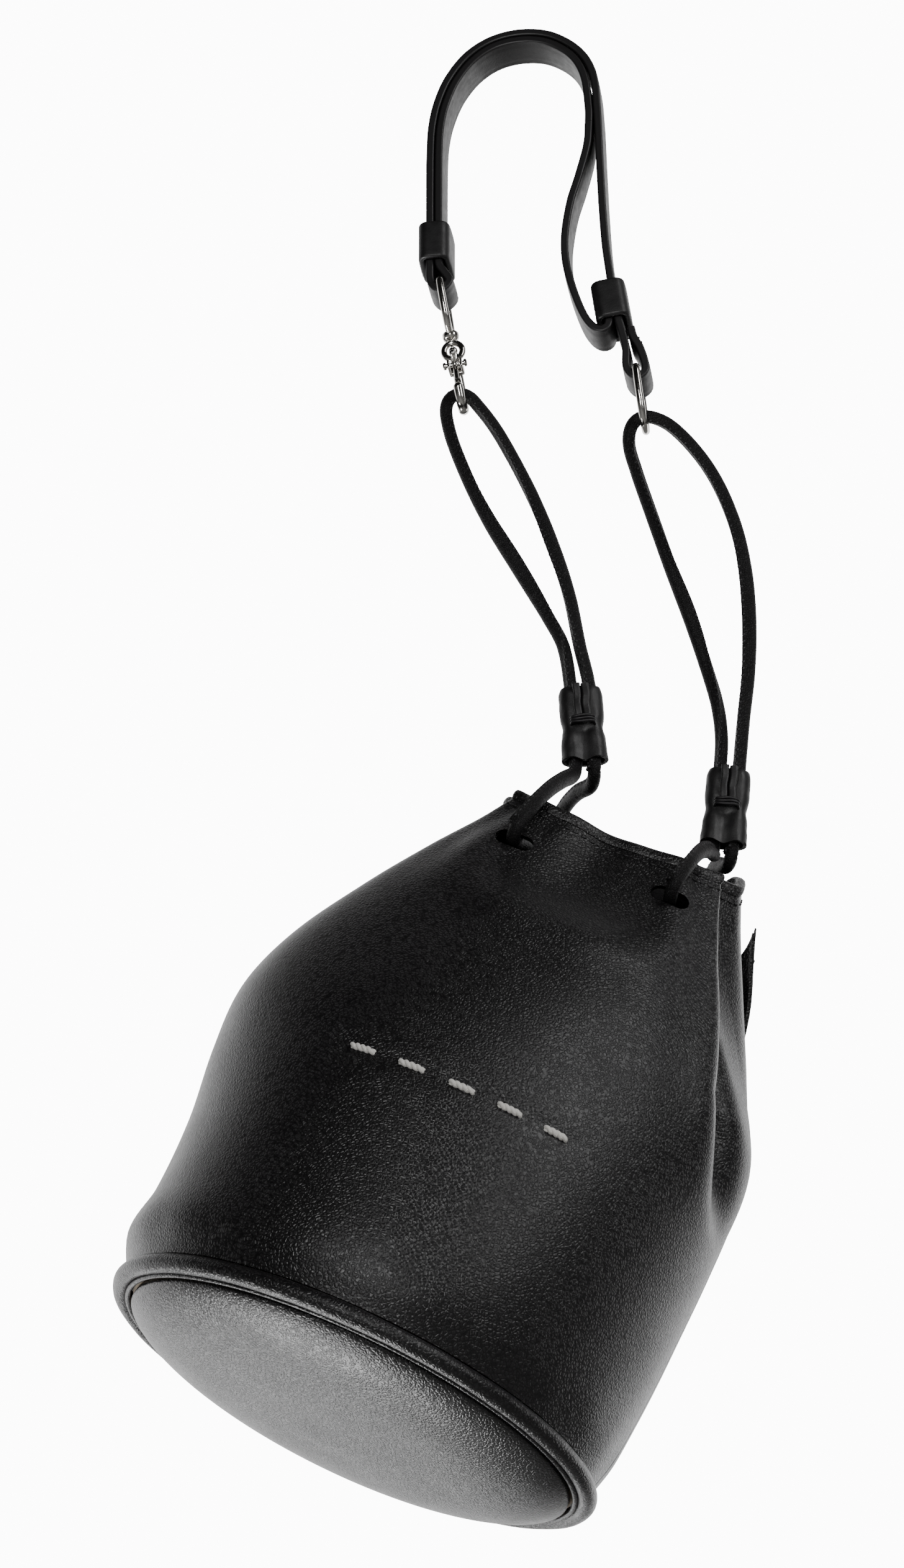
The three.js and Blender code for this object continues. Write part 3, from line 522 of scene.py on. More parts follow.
def relief(angle, rise):
    """How far the soft wall stands off its plain shape, in mm: gathers, pleat and dents."""
    gather = np.clip((rise - 0.62) / 0.38, 0, 1) ** 1.3
    fan = np.sin(angle * 9 + 1.2 * np.sin(angle * 2 + 0.4)) * 0.9 + np.sin(angle * 17 + 0.8) * 0.45
    fan = fan * (1 - 0.8 * np.exp(-(((angle - math.pi) / 0.5) ** 2)))
    body = (np.sin(angle * 3 + rise * 4 + 0.6) * 0.55 + np.sin(angle * 5 - rise * 9 + 2.1) * 0.35
            + np.sin(angle * 2 + rise * 13 + 0.3) * 0.3) * np.sin(math.pi * np.clip(rise, 0, 1)) ** 0.7
    foot = (np.exp(-(((rise - 0.05) / 0.035) ** 2))
            * (np.sin(angle * 13 + 0.5) * 0.14 + np.sin(angle * 23) * 0.07))
    # the drawn cords pull the front in between their slots, over a smile-shaped shoulder
    beside = (angle - 4.71) / 0.45
    hollow = np.clip((rise - 0.76) / 0.12, 0, 1)
    trough = (-3.6 * np.exp(-(beside**2)) * hollow * hollow * (3 - 2 * hollow)
              + 1.2 * np.exp(-(((rise - 0.77 - 0.05 * beside**2) / 0.045) ** 2))
              * np.exp(-((beside / 1.6) ** 2)))
    # the deep pleat at the right front: a rounded ridge, and the fold behind it
    deep = np.clip((rise - 0.40) / 0.22, 0, 1)
    deep = deep * deep * (3 - 2 * deep) * (1 - 0.35 * np.clip((rise - 0.8) / 0.2, 0, 1))
    ridge_at = 5.58 + 0.22 * np.clip((0.62 - rise) / 0.2, 0, 1) + 0.1 * np.clip((rise - 0.85) / 0.15, 0, 1)
    pleat = deep * (2.0 * np.exp(-(((angle - ridge_at) / 0.12) ** 2))
                    - 12.5 * np.exp(-(((angle - ridge_at - 0.27) / 0.13) ** 2))
                    + 2.5 * np.exp(-(((angle - ridge_at - 0.62) / 0.2) ** 2)))
    pull = 0
    for stitch_angle in STITCH_ANGLES:
        for end in (-0.05, 0.05):
            near = ((angle - stitch_angle - end) * 60) ** 2 + ((rise - STITCH_RISE) * 170) ** 2
            pull = pull - 0.55 * np.exp(-near / 9.0)
    return gather * fan + body + foot + trough + pleat + pull


def wall(angle, rise, inset, lift=0.0):
    """The bag's wall: angle from +X towards the back, rise from foot to rim, inset inwards."""
    angle, rise = np.broadcast_arrays(np.asarray(angle, float), np.asarray(rise, float))
    height = WALL_FOOT + rise * (RIM_HEIGHT - WALL_FOOT)
    left, right, front, back, pleat, power = profile_at(height)
    c, s = np.cos(angle), np.sin(angle)
    half_width, half_depth = np.where(c > 0, right, left), np.where(s > 0, back, front)
    y = np.sign(s) * half_depth * np.abs(s) ** (2 / power)
    fold = pleat * np.exp(-(((y / half_depth - PLEAT_CENTRE) / PLEAT_WIDTH) ** 2))
    x = np.sign(c) * (half_width * np.abs(c) ** (2 / power) - fold * np.abs(c))
    away = np.hypot(x, y)
    shrink = 1 - (inset - relief(np.mod(angle, 2 * math.pi), rise)) / away
    peak = 4.5 * np.exp(-(((angle - 0.45) / 0.3) ** 2)) * np.clip(rise, 0, 1) ** 6
    return np.stack([x * shrink, y * shrink, height + RIM_TILT * rise * s + peak + lift], axis=-1)


def shell_part(outer, inner, around=False):
    """A closed wall between two grids of points whose rows go up."""
    section = np.concatenate([outer, inner[::-1]])
    points, faces, corners = grid_part(section, rows_closed=True, columns_closed=around)
    if not around:
        rows, columns = section.shape[:2]
        index = np.arange(rows * columns).reshape(rows, columns)
        for column in (0, columns - 1):
            for row in range(len(outer) - 1):
                face = (index[row, column], index[row + 1, column], index[rows - 2 - row, column],
                        index[rows - 1 - row, column])
                faces.append(face)
                corners.append([(0, 0)] * 4)
    return points, faces, corners


def wall_shell(from_angle, to_angle, low, high, outset, inset, columns, rows, around=False):
    angles = np.linspace(from_angle, to_angle, columns, endpoint=not around)[None, :]
    rises = np.linspace(low, high, rows)[:, None]
    return shell_part(bag_place(wall(angles, rises, outset)), bag_place(wall(angles, rises, inset)), around)


# Lambskin with a small pebbled grain: each pebble is 0.7 to 1.2 mm across, between fine
# creases. The base colour is painted darker in the creases as painted shade and lighter on
# the pebble tops as a painted highlight, and the finish leaves it a soft gloss.
GRAIN = 0.98 * MM
pebbled_leather, tree, shader = principled("pebbled lambskin", "#171617", 0.44, Coat_Weight=0.08,
                                           Specular_IOR_Level=0.42)
shader.inputs["Coat Roughness"].default_value = 0.35
place = add_node(tree, "ShaderNodeTexCoord")
drift = add_node(tree, "ShaderNodeTexNoise", {"Scale": 0.45 / GRAIN, "Detail": 2.0},
                 {"Vector": place.outputs["Object"]})
drift_size = add_node(tree, "ShaderNodeVectorMath", {"operation": "SCALE", "Scale": 0.9 * GRAIN},
                      {0: drift.outputs["Color"]})
drifted = add_node(tree, "ShaderNodeVectorMath", {"operation": "ADD"},
                   {0: place.outputs["Object"], 1: drift_size.outputs[0]})
pebbles = add_node(tree, "ShaderNodeTexVoronoi", {"feature": "DISTANCE_TO_EDGE", "Scale": 1 / GRAIN},
                   {"Vector": drifted.outputs[0]})
crease = add_node(tree, "ShaderNodeMapRange", {"interpolation_type": "SMOOTHSTEP", "From Max": 0.32},
                  {"Value": pebbles.outputs["Distance"]})
fine = add_node(tree, "ShaderNodeTexNoise", {"Scale": 3200.0, "Detail": 1.0},
                {"Vector": place.outputs["Object"]})
patches = add_node(tree, "ShaderNodeTexNoise", {"Scale": 75.0, "Detail": 2.0},
                   {"Vector": place.outputs["Object"]})
depth = add_node(tree, "ShaderNodeMapRange",
                 {"From Min": 0.35, "From Max": 0.65, "To Min": 0.85, "To Max": 1.0},
                 {"Value": patches.outputs[0]})
deep = add_node(tree, "ShaderNodeMath", {"operation": "MULTIPLY"},
                {0: crease.outputs[0], 1: depth.outputs[0]})
fine_height = add_node(tree, "ShaderNodeMath", {"operation": "MULTIPLY_ADD", 1: 0.25},
                       {0: fine.outputs[0], 2: deep.outputs[0]})
grain_bump = add_node(tree, "ShaderNodeBump", {"Strength": 0.5, "Distance": 0.00022},
                      {"Height": fine_height.outputs[0]})
tree.links.new(grain_bump.outputs[0], shader.inputs["Normal"])
# painted shade and highlight: the base colour is darker in the creases and lighter on the pebble tops
painted_crease_shade = add_node(tree, "ShaderNodeMix", {"data_type": "RGBA", 6: linear("#0c0b0c"), 7: linear("#1d1c1d")},
               {0: crease.outputs[0]})
tree.links.new(painted_crease_shade.outputs[2], shader.inputs["Base Color"])
gloss = add_node(tree, "ShaderNodeMapRange",
                 {"From Min": 0.3, "From Max": 0.7, "To Min": 0.34, "To Max": 0.38},
                 {"Value": patches.outputs[0]})
tree.links.new(gloss.outputs[0], shader.inputs["Roughness"])

# Smooth calf: the same black with almost no grain, for the facing, patch, strap and sliders.
smooth_leather, tree, shader = principled("smooth calf", "#141314", 0.5, Coat_Weight=0.05)
shader.inputs["Coat Roughness"].default_value = 0.3
place = add_node(tree, "ShaderNodeTexCoord")
hair_pores = add_node(tree, "ShaderNodeTexVoronoi", {"Scale": 2100.0}, {"Vector": place.outputs["Object"]})
faint = add_node(tree, "ShaderNodeTexNoise", {"Scale": 420.0, "Detail": 4.0},
                 {"Vector": place.outputs["Object"]})
smooth_height = add_node(tree, "ShaderNodeMath", {"operation": "MULTIPLY_ADD", 1: 0.6},
                         {0: hair_pores.outputs["Distance"], 2: faint.outputs[0]})
smooth_bump = add_node(tree, "ShaderNodeBump", {"Strength": 0.28, "Distance": 0.00012},
                       {"Height": smooth_height.outputs[0]})
tree.links.new(smooth_bump.outputs[0], shader.inputs["Normal"])
worn = add_node(tree, "ShaderNodeMapRange",
                {"From Min": 0.3, "From Max": 0.7, "To Min": 0.44, "To Max": 0.56},
                {"Value": faint.outputs[0]})
tree.links.new(worn.outputs[0], shader.inputs["Roughness"])

# Cotton twill: dark grey, matt, with diagonal ribs 0.8 mm apart (drawn coarser than the
# real 0.4 mm so that they show)
lining_cloth, tree, shader = principled("cotton twill", "#2b2a2c", 0.9, Sheen_Weight=0.25)
place = add_node(tree, "ShaderNodeTexCoord")
ribs = add_node(tree, "ShaderNodeTexWave",
                {"Scale": 390.0, "Distortion": 0.8, "bands_direction": "DIAGONAL"},
                {"Vector": place.outputs["Object"]})
rib_bump = add_node(tree, "ShaderNodeBump", {"Strength": 0.5, "Distance": 0.0002},
                    {"Height": ribs.outputs[0]})
tree.links.new(rib_bump.outputs[0], shader.inputs["Normal"])


def slot_cutters(side):
    """Solid stadiums that cut the cord slots of one side through the wall."""
    wide, high = SLOT_SIZE
    parts = []
    for across, up, slot_side in SLOTS:
        if slot_side != side:
            continue
        outline = []
        for angle in np.linspace(0, 2 * math.pi, 40, endpoint=False):
            x = math.copysign((wide - high) / 2, math.cos(angle)) + high / 2 * math.cos(angle)
            outline.append((across + x, up + high / 2 * math.sin(angle)))
        depths = (12, 42) if side > 0 else (-42, -12)
        parts.append(grid_part(bag_place([[(x, y, z) for x, z in outline] for y in depths]),
                               columns_closed=True, capped=True))
    return parts


cutter_leather = principled("cutter", "#000000", 0.5)[0]


def cut_slots(obj, side):
    """Cuts the cord slots of one side, or of both, through a shell."""
    parts = sum([slot_cutters(each) for each in ((side,) if side else (-1, 1))], [])
    cutter = build("slot_cutter", parts, cutter_leather)
    cut = obj.modifiers.new("slots", "BOOLEAN")
    cut.operation, cut.object, cut.solver = "DIFFERENCE", cutter, "EXACT"
    bpy.context.view_layer.update()
    mesh = bpy.data.meshes.new_from_object(obj.evaluated_get(bpy.context.evaluated_depsgraph_get()))
    obj.modifiers.remove(cut)
    obj.data = mesh
    while len(mesh.materials) > 1:
        mesh.materials.pop()
    mesh.polygons.foreach_set("material_index", [0] * len(mesh.polygons))
    mesh.set_sharp_from_angle(angle=math.radians(45))
    bpy.data.objects.remove(cutter)


for name, start, side in (("front", math.pi, -1), ("back", 0.0, 1)):
    panel = build(f"wall_{name}", [wall_shell(start + SEAM_ANGLE, start + math.pi - SEAM_ANGLE, 0, 1, 0,
                                              WALL_THICKNESS, PANEL_COLUMNS, PANEL_ROWS)], pebbled_leather)
    cut_slots(panel, side)
    stand_for(panel, "bag", [f"{name}_panel"])

FACING_INSET = WALL_THICKNESS + 0.6
facing = build("facing",
               [wall_shell(0, 2 * math.pi, 0.8, 0.985, FACING_INSET, FACING_INSET + 0.8, 240, 26, True)],
               smooth_leather)
cut_slots(facing, 0)
stand_for(facing, "bag", ["mouth_facing"])
lining = build("lining",
               [wall_shell(0, 2 * math.pi, 0.005, 0.79, FACING_INSET, FACING_INSET + 0.6, 200, 60, True)],
               lining_cloth)
stand_for(lining, "bag", ["lining_wall"])
patch = build("blank_patch", [wall_shell(4.34, 5.08, 0.33, 0.5, 3.6, 4.6, 40, 24)], smooth_leather)
stand_for(patch, "bag", ["inner_patch"])
patch_rows = [bag_place(wall(np.linspace(4.36, 5.06, 40), rise, 4.65)) for rise in (0.34, 0.49)]
patch_seam = stitched("patch_stitches", patch_rows, 0.0028, 0.002, 0.0005, thread)
stand_for(patch_seam, "bag", [])

# ---------------------------------------------------------------- top binding
# A strip of the same lambskin folded over the rim and sewn through all the layers with
# one row of small black stitches just under it.

rim_angles = np.linspace(0, 2 * math.pi, 260, endpoint=False)
binding_section = [(-0.55, -0.6), (-0.75, 0.4), (-0.62, 1.5), (-0.1, 2.35), (0.9, 2.6), (1.9, 2.35),
                   (2.42, 1.5),
                   (2.5, 0.4), (2.3, -0.3), (2.0, 0.25), (0.9, 0.3), (-0.1, 0.25)]
binding = np.stack([wall(rim_angles, 1.0, inset, lift) for inset, lift in binding_section], axis=1)
top_binding = build("rim_binding", [grid_part(bag_place(binding), True, True)], pebbled_leather, 60)
stand_for(top_binding, "bag", ["top_binding"])
rim_line = bag_place(wall(np.linspace(0, 2 * math.pi, 400, endpoint=False), 0.984, -0.12))
rim_seam = stitched("rim_stitches", [rim_line], 0.0026, 0.0019, 0.0006, thread, closed=True)
stand_for(rim_seam, "bag", [])

# ---------------------------------------------------------------- front stitches
# A short straight row of thick off-white cotton stitches, sewn by hand through the front
# wall, which hold the patch inside. Each is two plies twisted together.

COTTON_RADIUS = 0.72 * MM
cotton, tree, shader = principled("soft cotton cord", "#dedcd6", 0.85, Sheen_Weight=0.4)
place = add_node(tree, "ShaderNodeTexCoord")
fuzz = add_node(tree, "ShaderNodeTexNoise", {"Scale": 2600.0, "Detail": 3.0},
                {"Vector": place.outputs["Object"]})
fuzz_bump = add_node(tree, "ShaderNodeBump", {"Strength": 0.6, "Distance": 0.0002},
                     {"Height": fuzz.outputs[0]})
tree.links.new(fuzz_bump.outputs[0], shader.inputs["Normal"])
cotton_shade = add_node(tree, "ShaderNodeMix",
                        {"data_type": "RGBA", 6: linear("#c3c0b9"), 7: linear("#eae8e3")},
                        {0: fuzz.outputs[0]})
tree.links.new(cotton_shade.outputs[2], shader.inputs["Base Color"])
parts = []
for stitch_angle in STITCH_ANGLES:
    shares = np.linspace(-1, 1, 34)
    sink = np.maximum(0, np.abs(shares) - 0.72) / 0.28
    core = bag_place(wall(stitch_angle + 0.05 * shares, STITCH_RISE, -0.35 + 1.9 * sink**1.6))
    side, up = line_frames(core, (0, 0, 1))
    for ply_phase in (0, math.pi):
        twist = (shares * 7.5 + ply_phase)[:, None]
        taper = (1 - 0.35 * sink**2)[:, None]
        ply_line = core + COTTON_RADIUS * 0.62 * taper * (side * np.cos(twist) + up * np.sin(twist))
        parts.append(swept_part(ply_line, circle(COTTON_RADIUS * 0.8, 12), side))
front_stitches = build("front_stitches", parts, cotton, 80)
stand_for(front_stitches, "bag", [])

# ---------------------------------------------------------------- foot piping and base
# The wall is sewn to the base round a piping: a strip of lambskin over a 4 mm core. The
# base is a round of the same leather over soft foam on a stiff board.

PIPING_RING = 67.3
BASE_RADIUS = 64.2
BASE_CROWN = 9.0
BASE_FLAT = 20.0
BASE_TOP = 2.0
PUSHED_OUT = 0.7 * MM
SETTLING_STEPS = 20
turns = np.linspace(0, 2 * math.pi, 200, endpoint=False)
piping_section = []
for angle in np.linspace(0, 2 * math.pi, 26, endpoint=False):
    # pinched where the strip's two edges meet over the core, at the inner side
    pinch = 0.5 * math.exp(-(((math.remainder(angle - 2.6, 2 * math.pi)) / 0.25) ** 2))
    piping_section.append(((2.6 - pinch) * math.cos(angle), (2.6 - pinch) * math.sin(angle)))
swell = 1 + 0.02 * np.sin(turns * 7 + 0.5) + 0.012 * np.sin(turns * 19)
piping = np.array([[((PIPING_RING + x * k) * math.cos(a), (PIPING_RING + x * k) * math.sin(a), 2.7 + z * k)
                    for x, z in piping_section] for a, k in zip(turns, swell)])
lip_section = [(-2.6 + x, -1.6 + z) for x, z in circle(0.75, 12)]
lip = np.array([[((PIPING_RING + x) * math.cos(a), (PIPING_RING + x) * math.sin(a), 2.3 + z)
                 for x, z in lip_section] for a in turns])
foot_piping = build("foot_piping",
                    [grid_part(bag_place(piping), True, True), grid_part(bag_place(lip), True, True)],
                    pebbled_leather, 70)
stand_for(foot_piping, "bag", ["piping"])


def crown(radius):
    share = np.clip((radius - BASE_FLAT) / (BASE_RADIUS - BASE_FLAT), 0, 1)
    return -BASE_CROWN * (1 - share**3) ** 0.7


radii = BASE_RADIUS * np.sin(np.linspace(0.02, math.pi / 2, 34))
rings = [[(r * 0.985 * math.cos(a), r * 0.985 * math.sin(a),
           crown(r) * 0.9) for a in turns[::2]] for r in radii]
rings += [[(BASE_RADIUS * 0.985 * k * math.cos(a), BASE_RADIUS * 0.985 * k * math.sin(a),
            BASE_TOP) for a in turns[::2]]
          for k in (1.0, 0.93, 0.6, 0.02)]
cushion = build("base_cushion", [grid_part(bag_place(rings), columns_closed=True, capped=True)],
                pebbled_leather, 70)
# the foam pushes the leather out a little, as far as PUSHED_OUT
rest = np.array([v.co for v in cushion.data.vertices])
held = cushion.vertex_groups.new(name="sewn")
local_top = len(radii) * len(turns[::2])
held.add(list(range(local_top - len(turns[::2]), len(rest))), 1.0, "REPLACE")
cloth = cushion.modifiers.new("cloth", "CLOTH")
cloth.settings.vertex_group_mass = "sewn"
cloth.settings.use_pressure = True
cloth.settings.uniform_pressure_force = 1.2
cloth.settings.shrink_min = -0.004
cloth.settings.effector_weights.gravity = 0
cloth.settings.bending_stiffness = 4.0
for step in range(1, SETTLING_STEPS + 1):
    bpy.context.scene.frame_set(step)
settled = cushion.evaluated_get(bpy.context.evaluated_depsgraph_get()).to_mesh()
moved = np.array([v.co for v in settled.vertices]) - rest
cushion.modifiers.remove(cloth)
bpy.context.scene.frame_set(1)
reach = np.linalg.norm(moved, axis=1)
moved *= (np.minimum(reach, PUSHED_OUT) / np.maximum(reach, 1e-9))[:, None]
cushion.data.vertices.foreach_set("co", (rest + moved).ravel())
cushion.data.update()
cushion.vertex_groups.clear()
finer = cushion.modifiers.new("finer", "SUBSURF")
finer.levels = finer.render_levels = 1
stand_for(cushion, "bag", ["base_panel"])

# Base board: grey-brown fibre board, hidden between the cushion and the lining
board, tree, shader = principled("fibre board", "#8a7f70", 0.95)
place = add_node(tree, "ShaderNodeTexCoord")
fibres = add_node(tree, "ShaderNodeTexNoise", {"Scale": 900.0, "Detail": 4.0},
                  {"Vector": place.outputs["Object"]})
fibre_shade = add_node(tree, "ShaderNodeMix",
                       {"data_type": "RGBA", 6: linear("#786e60"), 7: linear("#978b7b")},
                       {0: fibres.outputs[0]})
tree.links.new(fibre_shade.outputs[2], shader.inputs["Base Color"])
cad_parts["base_board"].data.materials.clear()
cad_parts["base_board"].data.materials.append(board)

lining_rings = []
for r, z in [(0.6, 4.9), (30, 4.85), (55, 4.9), (62, 5.0), (63.9, 5.3), (63.9, 5.6), (62, 5.6), (55, 5.62),
             (30, 5.6),
             (0.6, 5.6)]:
    lining_rings.append([(r * math.cos(a), r * math.sin(a), z) for a in turns[::2]])
floor_lining = build("floor_lining", [grid_part(bag_place(lining_rings), columns_closed=True, capped=True)],
                     lining_cloth)
stand_for(floor_lining, "bag", ["lining_base"])

# ---------------------------------------------------------------- back pocket
# A card pocket of two layers, sewn round three sides to the back panel. Its top edge is
# open and stands away from the wall, with a bar of stitches at each corner.

POCKET_ANGLES = (0.62, 2.52)
POCKET_RISES = (0.42, 0.87)
POCKET_STAND = 2.4
POCKET_CORNER_LIFT = 0.1
POCKET_CORNER_STAND = 7.5


def pocket_face(depth, across, up):
    u, v = np.meshgrid(across, up)
    angle = POCKET_ANGLES[0] + (POCKET_ANGLES[1] - POCKET_ANGLES[0]) * u
    middle = np.clip(np.sin(math.pi * u), 0, 1)
    top = POCKET_RISES[1] + POCKET_CORNER_LIFT * (1 - middle) ** 2
    rise = POCKET_RISES[0] + (top - POCKET_RISES[0]) * v
    opened = np.clip((v - 0.4) / 0.45, 0, 1)
    stand_off = (0.3 + POCKET_STAND * v**2 * middle**0.5
                 + POCKET_CORNER_STAND * (1 - middle) ** 1.5 * opened * opened * (3 - 2 * opened))
    return bag_place(wall(angle, rise, -stand_off - depth))


across, up = np.linspace(0, 1, 110), np.linspace(0, 1, 70)
pocket = build("card_pocket", [shell_part(pocket_face(1.3, across, up), pocket_face(0.7, across, up)),
                               shell_part(pocket_face(0.6, across, up * 0.985),
                                          pocket_face(0.0, across, up * 0.985))],
               pebbled_leather)
stand_for(pocket, "bag", ["back_pocket"])
edge = np.linspace(0.03, 0.96, 90)
sides = [pocket_face(1.34, np.array([u]), edge)[:, 0] for u in (0.025, 0.975)]
sides.append(pocket_face(1.34, np.linspace(0.025, 0.975, 120), np.array([0.03]))[0])
sides.append(pocket_face(1.34, np.linspace(0.025, 0.975, 120), np.array([0.955]))[0])
sides += [pocket_face(1.5, np.linspace(u, u + 0.03, 6), np.array([0.93]))[0] for u in (0.01, 0.96)]
pocket_seam = stitched("pocket_stitches", sides, 0.0026, 0.0019, 0.0006, thread)
stand_for(pocket_seam, "bag", [])

# ---------------------------------------------------------------- sliders
# Each slider is one piece of calf wrapped round both strands of a cord. Its two ends meet
# at the front as a pair of raised lips, and a waxed thread sewn round the lips shuts it.
# Under the thread it opens out in two lobes, where the front strand comes in.

SLIDERS = {"left": ((15.4, 0, -226), -3.0), "right": ((55.05, 0, -251.5), 6.0)}
SLIDER_HALF = 11.0
LOBE_RADIUS, LOBE_SPACING = 3.6, 5.3
SLIDER_WALL = 1.05


def turned_about_y(points, degrees):
    points = np.asarray(points, float)
    c, s = math.cos(math.radians(degrees)), math.sin(math.radians(degrees))
    x, y, z = np.moveaxis(points, -1, 0)
    return np.stack([x * c + z * s, y, z * c - x * s], axis=-1)


def rounded_loop(width, depth, radius, corner=10, side=8):
    """A rounded rectangle's points and outward normals, anticlockwise."""
    points, normals = [], []
    x, y = width / 2 - radius, depth / 2 - radius
    for index, (cx, cy) in enumerate(((x, y), (-x, y), (-x, -y), (x, -y))):
        for a in np.linspace(index * math.pi / 2, (index + 1) * math.pi / 2, corner):
            points.append((cx + radius * math.cos(a), cy + radius * math.sin(a)))
            normals.append((math.cos(a), math.sin(a)))
        end = np.array(points[-1])
        nx, ny = ((-x, y), (-x, -y), (x, -y), (x, y))[index]
        a = (index + 1) * math.pi / 2
        start_next = np.array((nx + radius * math.cos(a), ny + radius * math.sin(a)))
        for t in np.linspace(0, 1, side + 2)[1:-1]:
            points.append(tuple(end + (start_next - end) * t))
            normals.append((math.cos(a), math.sin(a)))
    return np.array(points), np.array(normals)


for side_name, (centre, lean) in SLIDERS.items():
    def slider_place(points):
        return (turned_about_y(points, lean) + np.array(centre)) * MM

    outline, normals = rounded_loop(LOBE_SPACING + 2 * LOBE_RADIUS, 2 * LOBE_RADIUS,
                                    LOBE_RADIUS - 0.01, 14, 8)
    inner_side, outer_side = [], []
    for z in np.linspace(-SLIDER_HALF, SLIDER_HALF, 46):
        waist = 0.55 * math.exp(-(((z + 1.1) / 2.2) ** 2))
        flare = 0.35 * max(0, -z - 4) / 7
        tuck = 0.5 * max(0, z - 8.5) ** 2 / 6
        front = np.clip(-normals[:, 1], 0, 1) * np.exp(-((outline[:, 0] / 2.2) ** 2))
        lobes = front * (1.1 if z < -3 else 1.1 * math.exp(-(((z + 3) / 1.5) ** 2)))
        crumple = np.array([noise.noise(Vector((x * 0.45, y * 0.45, z * 0.4 + lean))) for x,
                            y in outline]) * 0.14
        out = -waist + flare - tuck + crumple - lobes
        skirt = z - 0.9 * front * (z < -9) + 0.5 * crumple
        outer = outline + normals * out[:, None]
        inner = outline + normals * (out - SLIDER_WALL)[:, None]
        outer_side.append(np.column_stack([outer, skirt]))
        inner_side.append(np.column_stack([inner, skirt]))
    lips = []
    for x in (-1.2, 1.2):
        lip_line = np.array([(x + 0.12 * math.sin(z), -3.9 - 0.12 * math.sin(z * 0.9 + x), z)
                             for z in np.linspace(0.2, SLIDER_HALF - 0.1, 20)])
        lip_shape, _ = rounded_loop(2.2, 2.9, 0.6, 5, 2)
        lips.append(swept_part(slider_place(lip_line), lip_shape * MM,
                               slider_place((1, 0, 0)) - slider_place((0, 0, 0))))
    slider = build(f"slider_{side_name}_leather",
                   [shell_part(slider_place(outer_side), slider_place(inner_side), around=True), *lips],
                   smooth_leather, 60)
    stand_for(slider, f"slider_{side_name}", [f"slider_{side_name}"])
    wraps = []
    for height in (-1.0, -0.15, 0.7):
        arc = [(3.3 * math.sin(a), -3.1 - 2.5 * math.cos(a) ** 0.5,
                height + 0.12 * math.sin(3 * a + height))
               for a in np.linspace(-math.pi / 2, math.pi / 2, 28)]
        wraps.append(swept_part(slider_place(arc), circle(0.00042, 10), (0, 0, 1)))
    wrap = build(f"slider_{side_name}_thread", wraps, thread, 80)
    stand_for(wrap, f"slider_{side_name}", [f"slider_thread_{side_name}"])

for side_name in ("left", "right"):
    cord, seam, splice = cord_pieces[side_name]
    line = cord_lines[side_name]

# ---------------------------------------------------------------- hand strap
# One long strip of two calf layers glued back to back, with painted edges. It starts sewn
# round the right ring, goes over the arch, round the swivel eye and back as the inner
# layer, and its loose tail curls up into the adjuster.

STRAP_YAW = math.radians(-8.5)
STRAP_HALF_WIDTH = 6.0
STRAP_HALF_THICKNESS = 1.15
LEFT_FOLD, RIGHT_FOLD = (-24.2, -81.5), (33.2, -116)
LEFT_TILT, RIGHT_TILT = -8.4, -5.7
RING_WIRE = 1.1
FOLD = STRAP_HALF_THICKNESS + RING_WIRE + 0.5
STRAP_LINE = [
    (31.9, -102.2), (32.7, -105.6), (34.6, -109.6), (RIGHT_FOLD[0] + FOLD, RIGHT_FOLD[1] - 0.4),
    (RIGHT_FOLD[0], RIGHT_FOLD[1] - FOLD),
    (RIGHT_FOLD[0] - FOLD, RIGHT_FOLD[1] + 0.4), (30.3, -109), (29.3, -103.5), (27.9, -97), (26.7, -89),
    (25.7, -81),
    (24.8, -72), (24.1, -58), (23.6, -42), (23.1, -25), (21.9, -12.6), (17.6, -4.2), (9.6, 1.9),
    (0.6, 3.75),
    (-8.3, 2.2), (-15.9, -2.6), (-21.6, -10.2), (-25.0, -18.6), (-26.7, -27), (-27.2, -36), (-27.3, -48.5),
    (-27.3, -62), (-27.3, -75), (LEFT_FOLD[0] - FOLD, LEFT_FOLD[1]), (LEFT_FOLD[0], LEFT_FOLD[1] - FOLD),
    (LEFT_FOLD[0] + FOLD, LEFT_FOLD[1]), (-23.2, -78), (-24.7, -74.5), (-24.7, -62), (-24.7, -48.5),
    (-24.6, -36),
    (-24.1, -27.5), (-22.5, -19.6), (-19.3, -11.6), (-14.1, -4.6), (-7.4, -0.2), (0.6, 1.15), (8.4, -0.5),
    (15.6, -6),
    (19.3, -13.8), (20.5, -25), (20.5, -30.15),
]
TAIL_LINE = [
    (20.5, -30.2), (19.9, -38), (17.3, -48.5), (14.8, -57), (13.3, -65.5), (12.8, -72), (13.1, -78),
    (14.2, -84),
    (16.1, -91), (18.2, -96.8), (20.4, -100.4), (22.8, -102), (24.9, -101.2), (25.5, -98.6), (25.0, -94),
    (24.6, -91),
]


def strap_place(points):
    """Points in the strap's own frame, in mm, as places in metres."""
    x, y, z = np.moveaxis(np.asarray(points, float), -1, 0)
    c, s = math.cos(STRAP_YAW), math.sin(STRAP_YAW)
    return np.stack([x * c - y * s, x * s + y * c, z], axis=-1) * MM


# Edge paint: black acrylic laid on in coats and burnished, so it is rounder and glossier
edge_paint, tree, shader = principled("edge paint", "#1b1a1b", 0.42)
place = add_node(tree, "ShaderNodeTexCoord")
coats = add_node(tree, "ShaderNodeTexNoise", {"Scale": 500.0, "Detail": 2.0},
                 {"Vector": place.outputs["Object"]})
coat_bump = add_node(tree, "ShaderNodeBump", {"Strength": 0.2, "Distance": 0.0001},
                     {"Height": coats.outputs[0]})
tree.links.new(coat_bump.outputs[0], shader.inputs["Normal"])


